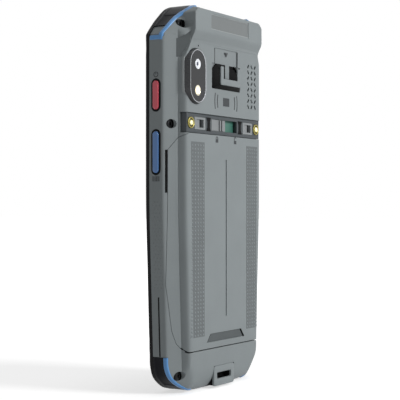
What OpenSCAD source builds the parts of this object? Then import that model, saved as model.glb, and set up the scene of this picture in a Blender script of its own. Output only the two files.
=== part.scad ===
// Handheld barcode data terminal with a hinged battery cover.
// The back faces -Y, the screen faces +Y and the long axis is Z.
// Depths are measured from the front glass towards the back.

/* [Body] */
// Width across the two side walls
body_w = 78.6; // [76:0.2:84]
// Height from the foot to the top edge
body_h = 169.4; // [166:0.5:177]
// Thickness from the front glass to the flat of the back
body_t = 17; // [16.4:0.1:19]
// Width across the side walls at the foot
foot_w = 72.4; // [71:0.2:74]
// Height above which the side walls are parallel
taper_top = 80; // [70:1:85]
// Depth of the front bezel's visible rim
rim_t = 2; // [1.8:0.1:2.4]
// Depth at which the side wall turns into the shoulder
side_t = 8.8; // [8.4:0.1:9.4]
// Depth at which the shoulder turns into the steep slope
shoulder_t = 12.8; // [12:0.1:13.4]
// Width of the shoulder, seen from the back
shoulder_in = 6; // [5.4:0.1:6.6]
// Distance from the side wall to the flat of the back
slope_in = 7; // [6.8:0.1:8.4]
// Wall of the rear housing
wall = 1.8; // [1.5:0.1:2]

/* [Head] */
// Width of the raised head
head_w = 58.4; // [50:0.2:59]
// Height of the head from its slope foot to the top edge
head_h = 17.1; // [15.5:0.1:19]
// Height of the slope below the head
head_slope = 4.4; // [3:0.1:6]
// Rise of the head above the flat of the back
head_raise = 2.3; // [1.5:0.1:2.5]
// Depth at which the top edge starts to fall towards the head's face
top_flat = 10; // [9.4:0.1:11]
// Fall of the top edge from its flat to the head's face
top_fall = 2.8; // [2:0.1:3.2]
// Width of the label recess
label_w = 33; // [20:0.5:40]
// Height of the label recess
label_h = 6.8; // [4:0.1:7.4]
// Depth of the label recess
label_depth = 0.4; // [0.2:0.05:0.7]
// Width of the scan window in the top edge
window_w = 25; // [18:0.5:28]
// Depth of the scan window, front to back
window_t = 6.4; // [5:0.1:7]

/* [Camera] */
// Distance of the camera's middle from the side wall
camera_in = 13.9; // [13.7:0.1:16]
// Distance of the camera below the top edge
camera_drop = 32.2; // [30:0.1:34]
// Width of the camera island
camera_w = 13.4; // [12:0.1:14]
// Height of the camera island
camera_h = 23.6; // [20:0.1:26]
// Rise of the camera island
camera_raise = 1.7; // [1:0.1:2.3]
// Width of the rim round the camera glass
camera_rim = 1; // [0.8:0.1:1.4]
// Distance of the lens above the middle of the island
lens_offset = 5.2; // [4:0.1:6]
// Distance of the flash below the middle of the island
flash_offset = 6.2; // [4:0.1:6.6]
// Diameter of the lens barrel
lens_d = 6.8; // [5:0.1:7.4]
// Diameter of the flash
flash_d = 4; // [3:0.1:5]

/* [Strap anchors] */
// Distance of the hood's middle below the top edge
hood_drop = 30.6; // [28.5:0.1:32]
// Width of the hood at its foot
hood_w = 24.4; // [22:0.1:26]
// Height of the hood at its foot
hood_h = 11.2; // [10:0.1:13]
// Rise of the hood above the flat of the back
hood_raise = 2.5; // [2.5:0.1:3.2]
// Width of the hood's face
hood_face_w = 17; // [15:0.1:19]
// Width of the hood's window
hood_window_w = 12.2; // [10:0.1:13]
// Width of the bar below the hood's window
hood_lip = 2.8; // [2:0.1:3.4]
// Width of the channel above the hood
channel_w = 20; // [16:0.5:21]
// Depth of the channel above the hood
channel_depth = 0.35; // [0.2:0.05:0.6]
// Height of the lower strap loop's edge above the foot
loop_z = 0.9; // [0.6:0.1:1.2]
// Width of the lower strap loop
loop_w = 17.5; // [16:0.1:19]
// Height of the lower strap loop
loop_h = 9; // [8.4:0.1:9.6]
// Width of the slot in the lower strap loop
loop_slot_w = 12.1; // [10:0.1:13]
// Height of the slot in the lower strap loop
loop_slot_h = 2.75; // [2:0.05:3.2]
// Height of the bar below the slot
loop_bar = 3.15; // [2.6:0.05:3.4]

/* [Battery cover] */
// Height of the cover's lower edge
cover_z = 18.5; // [17.9:0.1:19.3]
// Height of the back above the cover
upper_h = 56.9; // [56.5:0.1:60]
// Distance of the cover's side edges from the side walls
cover_in = 2.2; // [2.1:0.1:3]
// Thickness of the cover
cover_t = 1.6; // [1.4:0.1:1.8]
// Gap round and under the cover
cover_gap = 0.2; // [0.15:0.05:0.25]
// Radius of the pivot bars
pivot_r = 0.7; // [0.6:0.05:0.75]
// Height of the pivot above the cover's lower edge
pivot_rise = 1.4; // [1.3:0.1:1.6]
// Depth of the pivot below the flat of the back
pivot_depth = 1.4; // [1.3:0.05:1.5]
// Radial play of the cover's hooks on the pivot bars
pivot_play = 0.08; // [0.05:0.01:0.1]
// Width of the groove down the middle of the cover
groove_w = 1; // [0.6:0.1:1.6]
// Depth of the groove down the middle of the cover
groove_depth = 0.4; // [0.2:0.05:0.6]
// Depth of the thumb recess at the cover's lower end
scoop_depth = 0.6; // [0.3:0.05:0.8]
// Height of the nail slots beside the cover
nail_h = 18.4; // [12:0.2:24]

/* [Battery] */
// Distance of the battery pack's sides from the edges of the flat of the back
pack_in = 4.2; // [4:0.1:7]
// Distance of the battery pack above the cover's lower edge
pack_low = 8.3; // [8:0.1:11]
// Distance of the battery pack below the cover's upper edge
pack_top = 7.7; // [7.2:0.1:12]
// Play round the battery pack
pack_gap = 0.3; // [0.2:0.05:0.4]
// Thickness of the foam pad in the cover
pad_t = 0.5; // [0.3:0.05:0.8]
// Width of the bay seal
seal_w = 1.2; // [0.8:0.1:1.4]
// Height of the bay seal
seal_t = 0.9; // [0.6:0.1:1.2]

/* [Accessory strip] */
// Height of the accessory strip
strip_h = 8.5; // [8.5:0.1:9]
// Distance of the strip's ends from the side walls
strip_in = 6.3; // [6.1:0.1:7.3]
// Depth of the strip's face below the flat of the back
strip_sink = 0.9; // [0.6:0.05:1.1]
// Thickness of the accessory strip
strip_t = 2.7; // [2.6:0.1:2.9]
// Distance of the gold contacts from the strip's ends
contact_in = 4.6; // [4.4:0.1:5.2]
// Diameter of the gold contacts
contact_d = 4.6; // [4:0.1:4.8]
// Distance of the hook frames from the gold contacts
hook_in = 7.6; // [7.2:0.1:8.2]
// Width of the hook frames
hook_w = 8.8; // [7:0.1:8.8]
// Height of the hook frames
hook_h = 5.4; // [4.6:0.1:6]
// Length of the latch slot
slot_w = 22; // [21:0.1:23]
// Height of the latch slot
slot_h = 5.2; // [4.6:0.1:5.6]
// Length of the latch slider's grip
slider_w = 11.8; // [10.5:0.1:12.4]
// Play of the latch slider in its slot
slider_gap = 0.08; // [0.05:0.01:0.1]

/* [Keys] */
// Distance of the power key below the top edge
power_drop = 40.9; // [39.5:0.1:42]
// Length of the power key
power_h = 12.8; // [10:0.1:13]
// Distance of the scan keys below the top edge
scan_drop = 65.3; // [64:0.1:66]
// Length of the scan keys
scan_h = 18.3; // [14:0.1:18.6]
// Width of all side keys
key_w = 3.4; // [3:0.1:3.8]
// Depth of the keys' centre line
key_t = 5.4; // [5:0.1:5.6]
// Rise of the keys above the side wall
key_raise = 0.55; // [0.5:0.05:0.8]
// Travel of the keys
key_travel = 0.4; // [0.2:0.05:0.45]
// Play between a key and its slot
key_gap = 0.1; // [0.08:0.01:0.2]
// Length of each volume key
volume_h = 8.6; // [6:0.1:9]
// Gap between the two volume keys
volume_gap = 3; // [2.6:0.1:4]

/* [Inside] */
// Thickness of the front glass
glass_t = 1.1; // [0.8:0.1:1.2]
// Width of the bezel round the front glass
bezel_w = 2.6; // [2:0.1:3]
// Thickness of the display panel
display_t = 1.8; // [1.2:0.1:1.8]
// Thickness of the frame's web
web_t = 1; // [0.8:0.1:1.2]
// Distance of the display from the side walls
display_in = 8.3; // [8:0.1:9]
// Distance of the display above the foot
display_low = 22; // [18:0.5:26]
// Distance of the display below the top edge
display_drop = 17; // [14:0.5:20]
// Distance from the web to the main board
board_gap = 1.6; // [1.4:0.1:1.7]
// Thickness of the main board
board_t = 1; // [0.8:0.1:1]
// Distance of the main board from the side walls
board_in = 7.8; // [7.6:0.1:9]
// Height of the main board's lower end above the foot
board_low = 60; // [56:0.5:62]
// Distance of the main board below the top edge
board_drop = 9.5; // [9:0.1:12]
// Depth of the floor under the battery
bay_depth = 8; // [7.8:0.1:8.2]
// Thickness of the floor under the battery
bay_floor = 1.2; // [1:0.1:1.4]
// Width of the charging port
usb_w = 9; // [8:0.1:9.4]
// Thickness of the charging port
usb_t = 3.2; // [2.6:0.1:3.3]
// Depth of the charging port's centre line
usb_depth = 6; // [5.9:0.1:6.2]
// Distance of the loudspeaker's middle from the side wall
speaker_in = 15.9; // [15.6:0.1:17]
// Width of the loudspeaker
speaker_w = 14; // [12:0.1:14.4]
// Height of the loudspeaker
speaker_h = 24; // [18:0.1:24.6]

/* [Trim] */
// Height of the corner bumpers at the top
top_trim = 15.9; // [13:0.1:20]
// Height of the corner bumpers at the foot
foot_trim = 16.2; // [13.3:0.1:16.3]
// Thickness of the corner bumpers
trim_t = 0.8; // [0.7:0.05:0.9]
// Width of the coloured line along the bumpers
accent_w = 1.1; // [0.7:0.1:1.6]
// Diameter of the screw heads
screw_d = 3.6; // [3.2:0.1:3.7]

/* [Hidden] */
$fn = 48;

// Colours
housing_grey = "#8a9193";
trim_black = "#24272a";
accent_blue = "#3f74ad";
key_red = "#c0363c";
gold = "#c9a13b";
steel = "#b9bdc0";
board_green = "#2f6b4a";

// Margins for cuts that run past a surface and for pieces that lie on one another
over = 1;
fit = 0.1;
far = 20;

half_w = body_w / 2;
front_y = (body_t + hood_raise) / 2;
taper_angle = atan((half_w - foot_w / 2) / (taper_top - 11));
head_foot = body_h - head_h;
head_crease = head_foot + head_slope;
head_t = body_t + head_raise;

// Steps of the outline at the two corners, from the corner's own edges
top_corner = [[0, -14.3], [-4.3, -9.4], [-11.5, -3.4], [-14.9, -1.2], [-18.6, 0]];
foot_corner = [[-18, 0], [-12.7, 0.5], [-8.6, 1.8], [-4, 4.8], [-1.2, 7.7], [0, 11]];
// Lower end of the back, from the flat of the back: depth lost and height
foot_curve = [[0, 18.3], [0.7, 9.3], [2.1, 4.3], [3.6, 2.1], [5, 0.7], [6.4, 0]];

function unit(v) = v / norm(v);
function left_of(v) = [-v[1], v[0]];
// Convex outline moved inwards by a distance, points counter-clockwise
function inset_path(path, inset) = [
    for (i = [0:len(path) - 1])
        let (
            count = len(path),
            before = unit(path[i] - path[(i + count - 1) % count]),
            after = unit(path[(i + 1) % count] - path[i]),
            normals = left_of(before) + left_of(after)
        )
        path[i] + inset * normals / (1 + left_of(before) * left_of(after))
];
function mirrored(path) = [for (i = [len(path) - 1:-1:0]) [-path[i][0], path[i][1]]];
// Y of a plane at a depth below the front glass
function at(depth) = front_y - depth;
// Half width of the body at a height on its tapered part
function half_at(z) = half_w - max(0, taper_top - z) * tan(taper_angle);
// Height of the sloping top edge at a depth
function top_line(depth) = body_h - (depth - top_flat) * top_fall / (head_t - top_flat);

right_outline = concat(
    [for (p = foot_corner) [foot_w / 2 + p[0], p[1]]],
    [[half_w, taper_top]],
    [for (p = top_corner) [half_w + p[0], body_h + p[1]]]
);
body_outline = concat(right_outline, mirrored(right_outline));
cross_profile = [
    [-2 * half_w, at(body_t)], [half_w - slope_in, at(body_t)],
    [half_w - shoulder_in, at(shoulder_t)], [half_w, at(side_t)],
    [half_w, at(-far)], [-2 * half_w, at(-far)]
];
back_profile = concat(
    [[at(-far), 0], [at(-far), top_line(-far)], [at(body_t), top_line(body_t)]],
    [for (p = foot_curve) [at(body_t - p[0]), p[1]]]
);
// Slopes that wrap round the corners: run of the slope's edge, distance inside it and depth
top_run = [-5, 6];
foot_run = [4.4, 5.6];
top_slope = [[5.6, body_t], [2.6, 12.8], [-0.6, 9.2]];
foot_slope = [[7.6, body_t], [4, 13.8], [-0.6, 9.2]];
function corner_profile(slope) = concat(
    [[-3 * body_h, at(body_t)]],
    [for (p = slope) [-p[0], at(p[1])]],
    [[-slope[2][0], at(-far)], [-3 * body_h, at(-far)]]
);
// Turn of a corner's edge away from upright
function turn_of(run) = atan2(run[0], run[1]);
head_root = head_foot - head_slope / head_raise;
head_profile = [
    [at(side_t), head_root], [at(side_t), top_line(side_t)], [at(head_t), top_line(head_t)],
    [at(head_t), head_crease], [at(body_t - 1), head_root]
];

// Hollow in the shoulder beside the head's foot, seen from the back
hollow_h = 7.5;
hollow_wall = 0.7;
hollow_outline = [
    [half_w - shoulder_in + 0.7, head_foot - hollow_h], [half_w - shoulder_in + 0.7, head_foot + 0.6],
    [head_w / 2 - 0.4, head_crease + 0.2], [head_w / 2 - 0.4, head_foot + 0.5],
    [half_w - slope_in + 0.4, head_foot - hollow_h]
];

// Scan window, measured along the sloping top edge, and the engine below it
top_angle = atan(top_fall / (head_t - top_flat));
window_s = [0.7, 0.7 + window_t];
engine_d = [top_flat + 0.5, top_flat + window_t - 0.4];
engine_top = top_line(engine_d[1]) - wall - 0.6;

// Depths of the layers, front to back
ledge_t = glass_t + 0.05;
display_back = ledge_t + display_t;
web_front = display_back + 0.05;
web_back = web_front + web_t;
board_front = web_back + board_gap;
board_back = board_front + board_t;
board_top = body_h - board_drop;
board_post_in = 4.5;
shield_w = 34;
shield_h = 26;
shield_in = 12;
bay_bottom = bay_depth + bay_floor;
seat = cover_t + cover_gap;
seat_depth = body_t - seat;
inner_back = body_t - wall;

// Battery cover and its pivot
cover_top = body_h - upper_h;
cover_side = half_w - cover_in;
plateau_foot = half_at(cover_z) - slope_in;
cover_run = cover_side - plateau_foot;
flat_half = min(plateau_foot, half_w - slope_in);
cover_corner = 7.4;
cover_lean = 28.8;
pivot_z = cover_z + pivot_rise;
pivot_d = body_t - pivot_depth;
cover_end_r = sqrt(pivot_rise * pivot_rise + pivot_depth * pivot_depth);
pivot_clear_r = cover_end_r + 0.17;
swing_room = 0.6;
hook_r = pivot_r + 0.8;
bar_spans = [[-17, -5], [5, 17]];
post_w = 1.2;
post_t = 0.8;
post_clear_r = pivot_r + 0.36;
right_cover_edge = [
    [plateau_foot, cover_z], [plateau_foot + 0.4 * cover_run, cover_z + 3.6],
    [plateau_foot + 0.64 * cover_run, cover_z + 9],
    [cover_side, cover_z + cover_lean],
    [cover_side, cover_top - cover_corner],
    [cover_side - 4.6, cover_top - 1.2],
    [cover_side - 6.8, cover_top]
];
cover_outline = concat(right_cover_edge, mirrored(right_cover_edge));

// Battery bay
pack_w = 2 * (flat_half - pack_in);
pack_z = cover_z + pack_low;
pack_h = cover_top - pack_top - pack_z;
pack_d = bay_bottom + fit;
bay_w = pack_w + 2 * pack_gap;
bay_z = pack_z - pack_gap;
contact_room = 3;
bay_h = pack_h + 2 * pack_gap + contact_room;
seal_gap = 0.6;

// Accessory strip
strip_w = body_w - 2 * strip_in;
contact_x = strip_w / 2 - contact_in;
hook_x = contact_x - hook_in;
strip_z = cover_top + 0.3;
strip_top = strip_z + strip_h;
strip_mid = strip_z + strip_h / 2;
strip_face = body_t - strip_sink;
strip_back = strip_face - strip_t;
slider_flange = 0.6;
flange_h = slot_h + 1.4;
floor_t = 0.7;
flange_front = strip_back + floor_t + slider_gap;
flange_back = flange_front + slider_flange;
slider_x = -slot_w / 2 + 0.25;
latch_travel = slot_w - slider_w - 0.5;

// Lower board, charging port and vibration motor
usb_back = 9.1;
lower_board_w = 44;
lower_board_h = 12.8;
motor_d = 8;
motor_t = 2.6;
motor_in = 13;

// Camera, hood, loudspeaker
camera_x = half_w - camera_in;
camera_z = body_h - camera_drop;
camera_neck = camera_w - 2;
hood_z = body_h - hood_drop;
speaker_x = half_w - speaker_in;
speaker_drop = 32.8;
speaker_z = body_h - speaker_drop;
grille_pitch = [3.2, 2.67];
grille_count = [3, 8];
nfc_z = hood_z - hood_h / 2 - 5.6;

// Side keys
key_flange = 0.8;
flange_edge = 0.8;
flange_x = half_w - wall - 0.05;
switch_x = flange_x - key_flange - key_travel - 0.05;
switch_t = 1.4;
frame_inset = wall + 0.15;
frame_wall = 1.2;
notch_x = switch_x - switch_t - 0.05;
power_z = body_h - power_drop;
scan_z = body_h - scan_drop;
volume_z = power_z;
volume_up_z = volume_z + (volume_h + volume_gap) / 2;
volume_down_z = volume_z - (volume_h + volume_gap) / 2;
// Each side key: side, height of its middle, length
side_keys = [
    [-1, power_z, power_h], [-1, scan_z, scan_h], [1, scan_z, scan_h],
    [1, volume_up_z, volume_h], [1, volume_down_z, volume_h]
];

// Screws: distance from the centre plane, height, depth of the head's top
screw_places = [
    [half_w - 8.5, body_h - 9.9, 12.6], [half_w - 3.5, strip_mid - 0.8, 10.6], [foot_w / 2 - 5.2, 8, 11.6]
];
trim_foot_x = foot_w / 2 - 14;
screw_head = 1.2;
screw_shank = 1.8;
screw_tip = web_back + 0.2;
boss_d = 3.9;

// Lower strap loop
loop_face = body_t - 1;
loop_back = 10.6;
loop_bar_t = 2.8;

// Plate with its outline in the XZ plane between two depths
module plate(from, to) {
    translate([0, at(from), 0])
        rotate([90, 0, 0])
            linear_extrude(to - from)
                children();
}

// Slab with its outline in the YZ plane between two X values
module slab(from, to) {
    translate([from, 0, 0])
        rotate([90, 0, 90])
            linear_extrude(to - from)
                children();
}

module block(x, depth, z) {
    translate([x[0], at(depth[1]), z[0]])
        cube([x[1] - x[0], depth[1] - depth[0], z[1] - z[0]]);
}

// Block on the sloping top edge: half width, distances along the slope, distances above it
module top_block(half, along, above) {
    translate([0, at(top_flat), body_h])
        rotate([top_angle, 0, 0])
            translate([-half, -along[1], above[0]])
                cube([2 * half, along[1] - along[0], above[1] - above[0]]);
}

// Cylinder along the depth direction
module post(x, z, d, depth) {
    plate(depth[0], depth[1])
        translate([x, z])
            circle(d = d);
}

// Upright slot shape with round ends
module stadium(w, h) {
    union() {
        square([w, h - w], center = true);
        for (s = [-1, 1])
            translate([0, s * (h - w) / 2])
                circle(d = w);
    }
}

module rounded(w, h, r) {
    union() {
        square([w - 2 * r, h], center = true);
        square([w, h - 2 * r], center = true);
        for (sx = [-1, 1])
            for (sz = [-1, 1])
                translate([sx * (w / 2 - r), sz * (h / 2 - r)])
                    circle(r);
    }
}

module both_sides() {
    children();
    mirror([1, 0, 0])
        children();
}

module side_limit(inset) {
    profile = inset_path(cross_profile, inset);
    reach = body_h + 2 * far;
    intersection() {
        translate([0, 0, -far])
            linear_extrude(reach)
                polygon(profile);
        translate([half_w, 0, taper_top])
            rotate([0, taper_angle, 0])
                translate([-half_w, 0, -taper_top - far])
                    linear_extrude(reach)
                        polygon(profile);
    }
}

// Everything inside the slope at a corner, whose edge starts at a place and follows a run
module corner_limit(place, run, slope, inset) {
    translate([place[0], 0, place[1]])
        rotate([0, turn_of(run), 0])
            translate([0, 0, -2 * body_h])
                linear_extrude(4 * body_h)
                    polygon(inset_path(corner_profile(slope), inset));
}

module top_limit(inset) {
    corner_limit([half_w, body_h] + top_corner[1], top_run, top_slope, inset);
}

module foot_limit(inset) {
    corner_limit([foot_w / 2, 0] + foot_corner[3], foot_run, foot_slope, inset);
}

// The body behind the bezel, moved inwards by a distance
module body_form(inset) {
    intersection() {
        plate(rim_t, body_t)
            polygon(inset_path(body_outline, inset));
        side_limit(inset);
        mirror([1, 0, 0])
            side_limit(inset);
        top_limit(inset);
        mirror([1, 0, 0])
            top_limit(inset);
        foot_limit(inset);
        mirror([1, 0, 0])
            foot_limit(inset);
        slab(-body_w, body_w)
            polygon(inset_path(back_profile, inset));
    }
}

module head_form(inset) {
    intersection() {
        plate(side_t, head_t)
            polygon(inset_path(body_outline, inset));
        slab(-head_w / 2 + inset, head_w / 2 - inset)
            polygon(inset_path(head_profile, inset));
    }
}

// Hollow whose floor leans at 45 degrees from the shoulder to the flat of the back
module hollow(grow) {
    floor_line = half_w - shoulder_in + shoulder_t - grow * sqrt(2);
    intersection() {
        plate(side_t, head_t + far)
            polygon(inset_path(hollow_outline, -grow));
        linear_extrude(body_h + far)
            polygon([
                [floor_line - side_t, at(side_t)], [floor_line - far - over, at(far + over)],
                [floor_line - side_t, at(far + over)]
            ]);
    }
}

// Corners that the bumpers cover, seen from the back
module trim_zone(top, gap) {
    x = head_w / 2 + 0.4 - gap;
    for (s = [-1, 1]) {
        if (top)
            translate([s > 0 ? x : -x - half_w, body_h - top_trim - gap])
                square([half_w, top_trim + over]);
        else
            translate([s > 0 ? trim_foot_x - gap : gap - trim_foot_x - half_w, -over])
                square([half_w, foot_trim + gap + over]);
    }
}

// Band of the outer wall at the corners
module trim_band(top, gap) {
    intersection() {
        difference() {
            polygon(inset_path(body_outline, -over * sign(gap)));
            polygon(inset_path(body_outline, trim_t + gap));
        }
        trim_zone(top, gap);
    }
}

module bumpers(top) {
    intersection() {
        plate(rim_t + 0.05, body_t)
            trim_band(top, 0);
        translate([0, accent_w, 0])
            body_form(0);
    }
}

module accents(top) {
    difference() {
        intersection() {
            plate(rim_t + 0.05, body_t)
                trim_band(top, 0);
            body_form(0);
        }
        translate([0, accent_w - 0.05, 0])
            body_form(-0.01);
    }
}

// Side key shape between two X distances from the centre plane
module key_shape(side, z, length, grow, x) {
    slab(side > 0 ? x[0] : -x[1], side > 0 ? x[1] : -x[0])
        translate([at(key_t), z])
            stadium(key_w + 2 * grow, length + 2 * grow);
}

module side_key(side, z, length) {
    key_shape(side, z, length, 0, [flange_x - key_flange, half_w + key_raise]);
    key_shape(side, z, length, flange_edge, [flange_x - key_flange, flange_x]);
}

module screw_spots() {
    for (p = screw_places)
        for (s = [-1, 1])
            translate([s * p[0], 0, p[1]])
                children();
}

module front_glass() {
    color("#101214")
        difference() {
            plate(0, glass_t)
                polygon(inset_path(body_outline, bezel_w + 0.15));
            plate(-over, glass_t + over)
                translate([0, body_h - 9.5])
                    rotate(90)
                        stadium(1.2, 12);
        }
}

module display_panel() {
    color("#1c1f24")
        block([display_in - half_w, half_w - display_in], [ledge_t, display_back],
              [display_low, body_h - display_drop]);
}

module front_bezel() {
    color(trim_black)
        difference() {
            plate(0, rim_t)
                polygon(body_outline);
            plate(-over, ledge_t)
                polygon(inset_path(body_outline, bezel_w));
            plate(0, rim_t + over)
                polygon(inset_path(body_outline, bezel_w + 1.7));
        }
}

module earpiece() {
    color("#3b3e42")
        block([-7, 7], [ledge_t, web_front], [body_h - 11.5, body_h - 7.5]);
}

module front_camera() {
    color(trim_black)
        post(-20, body_h - 9.5, 5, [ledge_t, web_front]);
}

module mid_frame() {
    color("#5b6065")
        difference() {
            union() {
                plate(web_front, web_back)
                    polygon(inset_path(body_outline, frame_inset));
                difference() {
                    plate(rim_t + 0.05, bay_depth - 0.3)
                        polygon(inset_path(body_outline, frame_inset));
                    plate(rim_t - over, bay_depth)
                        polygon(inset_path(body_outline, frame_inset + frame_wall));
                }
                for (s = [-1, 1])
                    intersection() {
                        block([s * notch_x - 0.6, s * notch_x + 0.6], [web_front, bay_depth - 0.3],
                              [scan_z - scan_h / 2 - 4, power_z + power_h / 2 + 8]);
                        plate(rim_t, bay_depth)
                            polygon(inset_path(body_outline, frame_inset));
                    }
                intersection() {
                    for (p = screw_places)
                        for (s = [-1, 1])
                            post(s * p[0], p[1], boss_d, [web_front, bay_depth - 0.3]);
                    plate(rim_t, bay_depth)
                        polygon(inset_path(body_outline, frame_inset));
                }
                for (s = [-1, 1])
                    for (z = [board_low + board_post_in, board_top - board_post_in])
                        post(s * (half_w - board_in - board_post_in), z, 5, [web_back - 0.1, board_front]);
            }
            for (key = side_keys)
                intersection() {
                    key_shape(key[0], key[1], key[2], flange_edge + 0.6, [notch_x, half_w]);
                    block([-half_w, half_w], [rim_t - over, bay_depth], [0, body_h]);
                }
            for (s = [-1, 1])
                block([s > 0 ? notch_x : -half_w, s > 0 ? half_w : -notch_x],
                      [rim_t - over, bay_depth],
                      [scan_z - scan_h / 2 + 1, scan_z + scan_h / 2 - 1]);
            screw_spots()
                rotate([-90, 0, 0])
                    translate([0, 0, at(screw_tip + far)])
                        cylinder(h = far, d = screw_shank + 0.1);
            block([-usb_w / 2 - 0.3, usb_w / 2 + 0.3], [web_back, bay_depth], [-over, usb_back - 0.1]);
        }
}

module main_board() {
    color(board_green)
        difference() {
            block([board_in - half_w, half_w - board_in], [board_front, board_back],
                  [board_low, board_top]);
            screw_spots()
                rotate([-90, 0, 0])
                    translate([0, 0, at(bay_depth)])
                        cylinder(h = bay_depth, d = boss_d + 0.8);
        }
}

module board_shields() {
    color(steel) {
        for (z = [board_low + shield_in, board_top - shield_in - shield_h])
            block([-shield_w / 2, shield_w / 2], [web_back + 0.3, board_front], [z, z + shield_h]);
        block([-shield_w / 2, shield_w / 2], [board_back, bay_depth - 0.25],
              [board_low + board_post_in, board_low + board_post_in + shield_h]);
    }
}

module lower_board() {
    color(board_green)
        block([-lower_board_w / 2, lower_board_w / 2], [usb_depth, usb_depth + board_t],
              [usb_back + 0.1, usb_back + 0.1 + lower_board_h]);
}

module usb_port() {
    color(steel)
        difference() {
            plate_z(wall + 0.05, usb_back)
                rotate(90)
                    stadium(usb_t, usb_w);
            plate_z(wall - over, usb_back - 1.5)
                rotate(90)
                    stadium(usb_t - 0.7, usb_w - 0.7);
        }
    color(trim_black)
        plate_z(wall + 0.8, usb_back - 1.1)
            square([usb_w - 3, 0.7], center = true);
}

// Outline in the XY plane at the charging port between two heights
module plate_z(from, to) {
    translate([0, at(usb_depth), from])
        linear_extrude(to - from)
            children();
}

module vibration_motor() {
    color(steel)
        post(motor_in - foot_w / 2, display_low + motor_in, motor_d, [web_back, web_back + motor_t]);
}

module housing_cavity() {
    // Room in front of the battery floor
    plate(rim_t - over, bay_depth)
        polygon(inset_path(body_outline, wall));
    // Room behind the upper part of the board
    intersection() {
        union() {
            body_form(wall);
            head_form(wall);
        }
        block([-half_w, half_w], [bay_depth - 0.5, head_t], [strip_top + wall, body_h]);
    }
    // Room at the foot on both sides of the strap loop
    both_sides()
        intersection() {
            body_form(wall);
            block([loop_w / 2 + wall, half_w], [bay_depth - 0.5, body_t],
                  [0, pivot_z - pivot_clear_r - wall]);
        }
}

module cover_zone(gap) {
    plate(side_t - 0.5, body_t + over)
        polygon(inset_path(cover_outline, -gap));
}

module grille() {
    for (column = [0:grille_count[0] - 1])
        for (row = [0:grille_count[1] - 1]) {
            tilt = (column + row) % 2 == 0 ? 40 : -40;
            translate([speaker_x + (column - (grille_count[0] - 1) / 2) * grille_pitch[0],
                       speaker_z + (row - (grille_count[1] - 1) / 2) * grille_pitch[1]])
                rotate(tilt)
                    stadium(1, 2.3);
        }
}

module rear_housing() {
    color(housing_grey)
        difference() {
            union() {
                difference() {
                    union() {
                        difference() {
                            union() {
                                difference() {
                                    body_form(0);
                                    cover_zone(cover_gap);
                                }
                                body_form(seat);
                            }
                            both_sides()
                                hollow(0);
                        }
                        head_form(0);
                    }
                    difference() {
                        housing_cavity();
                        for (p = screw_places)
                            for (s = [-1, 1])
                                post(s * p[0], p[1], screw_d + 2.4, [bay_depth - 0.2, body_t]);
                        both_sides()
                            hollow(hollow_wall);
                    }
                    // Swing room round the cover's pivot
                    translate([-plateau_foot - swing_room, at(pivot_d), pivot_z])
                        rotate([0, 90, 0])
                            cylinder(h = 2 * (plateau_foot + swing_room), r = pivot_clear_r);
                }
                for (span = bar_spans) {
                    translate([span[0] - post_w, at(pivot_d), pivot_z])
                        rotate([0, 90, 0])
                            cylinder(h = span[1] - span[0] + 2 * post_w, r = pivot_r);
                    for (x = [span[0] - post_w, span[1]])
                        block([x, x + post_w], [pivot_d - pivot_clear_r - 0.2, pivot_d],
                              [pivot_z - post_t / 2, pivot_z + post_t / 2]);
                }
            }
            // Battery bay and the groove of its seal
            block([-bay_w / 2, bay_w / 2], [bay_bottom, body_t + over], [bay_z, bay_z + bay_h]);
            plate(seat_depth - seal_t + fit, body_t)
                difference() {
                    seal_outline(seal_gap + seal_w + 0.05);
                    seal_outline(seal_gap - 0.05);
                }
            // Seat of the accessory strip
            block([-strip_w / 2 - 0.1, strip_w / 2 + 0.1], [strip_back - fit, body_t + over],
                  [strip_z - 0.2, strip_top + 0.1]);
            block([-4.8, 4.8], [bay_depth - over, strip_back], [bay_z + bay_h - 0.1, bay_z + bay_h + 4]);
            // Camera and flash
            plate(side_t, head_t)
                translate([-camera_x, camera_z])
                    stadium(camera_neck + 0.2, camera_h - camera_w + camera_neck + 0.2);
            // Loudspeaker grille and microphone hole
            plate(inner_back - over, body_t + over)
                grille();
            post(-camera_x + 2, camera_z + camera_h / 2 + 1.6, 0.8, [inner_back - over, body_t + over]);
            // Channel above the hood and the hood's seat
            block([-channel_w / 2, channel_w / 2], [body_t - channel_depth, body_t + over],
                  [hood_z, head_foot - 0.9]);
            block([-hood_w / 2 - 0.05, hood_w / 2 + 0.05], [body_t - 0.6, body_t + over],
                  [hood_z - hood_h / 2 - 0.05, hood_z + hood_h / 2 + 0.05]);
            // Label recess on the head
            block([-label_w / 2, label_w / 2], [head_t - label_depth, head_t + over],
                  [head_crease + 1.8, head_crease + 1.8 + label_h]);
            // Scan window
            top_block(window_w / 2 + 0.1, [window_s[0] - 0.1, window_s[1] + 0.1], [-1.2, over]);
            top_block(window_w / 2 - 1, [window_s[0] + 1, window_s[1] - 1], [-wall - over, over]);
            // Side keys
            for (key = side_keys)
                key_shape(key[0], key[1], key[2], key_gap, [half_w - wall - over, half_w + over]);
            // Screws
            for (p = screw_places)
                for (s = [-1, 1]) {
                    post(s * p[0], p[1], screw_d + 0.4, [p[2] - screw_head, body_t + over]);
                    post(s * p[0], p[1], screw_shank + 0.3, [bay_depth - over, p[2]]);
                }
            // Corner bumpers
            plate(rim_t - over, body_t + over)
                union() {
                    trim_band(true, 0.05);
                    trim_band(false, 0.05);
                }
            // Charging port
            plate_z(-over, wall + over)
                rotate(90)
                    stadium(usb_t + 0.1, usb_w + 0.1);
            // Seat of the lower strap loop
            block([-loop_w / 2 - 0.05, loop_w / 2 + 0.05], [loop_back - fit, body_t + over],
                  [-over, loop_z + loop_h + 0.1]);
            // Nail slots beside the cover
            both_sides()
                block([cover_side - 0.6, cover_side + 1.2], [side_t + 0.6, body_t],
                      [cover_top - cover_corner - nail_h, cover_top - cover_corner]);
        }
}

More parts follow.
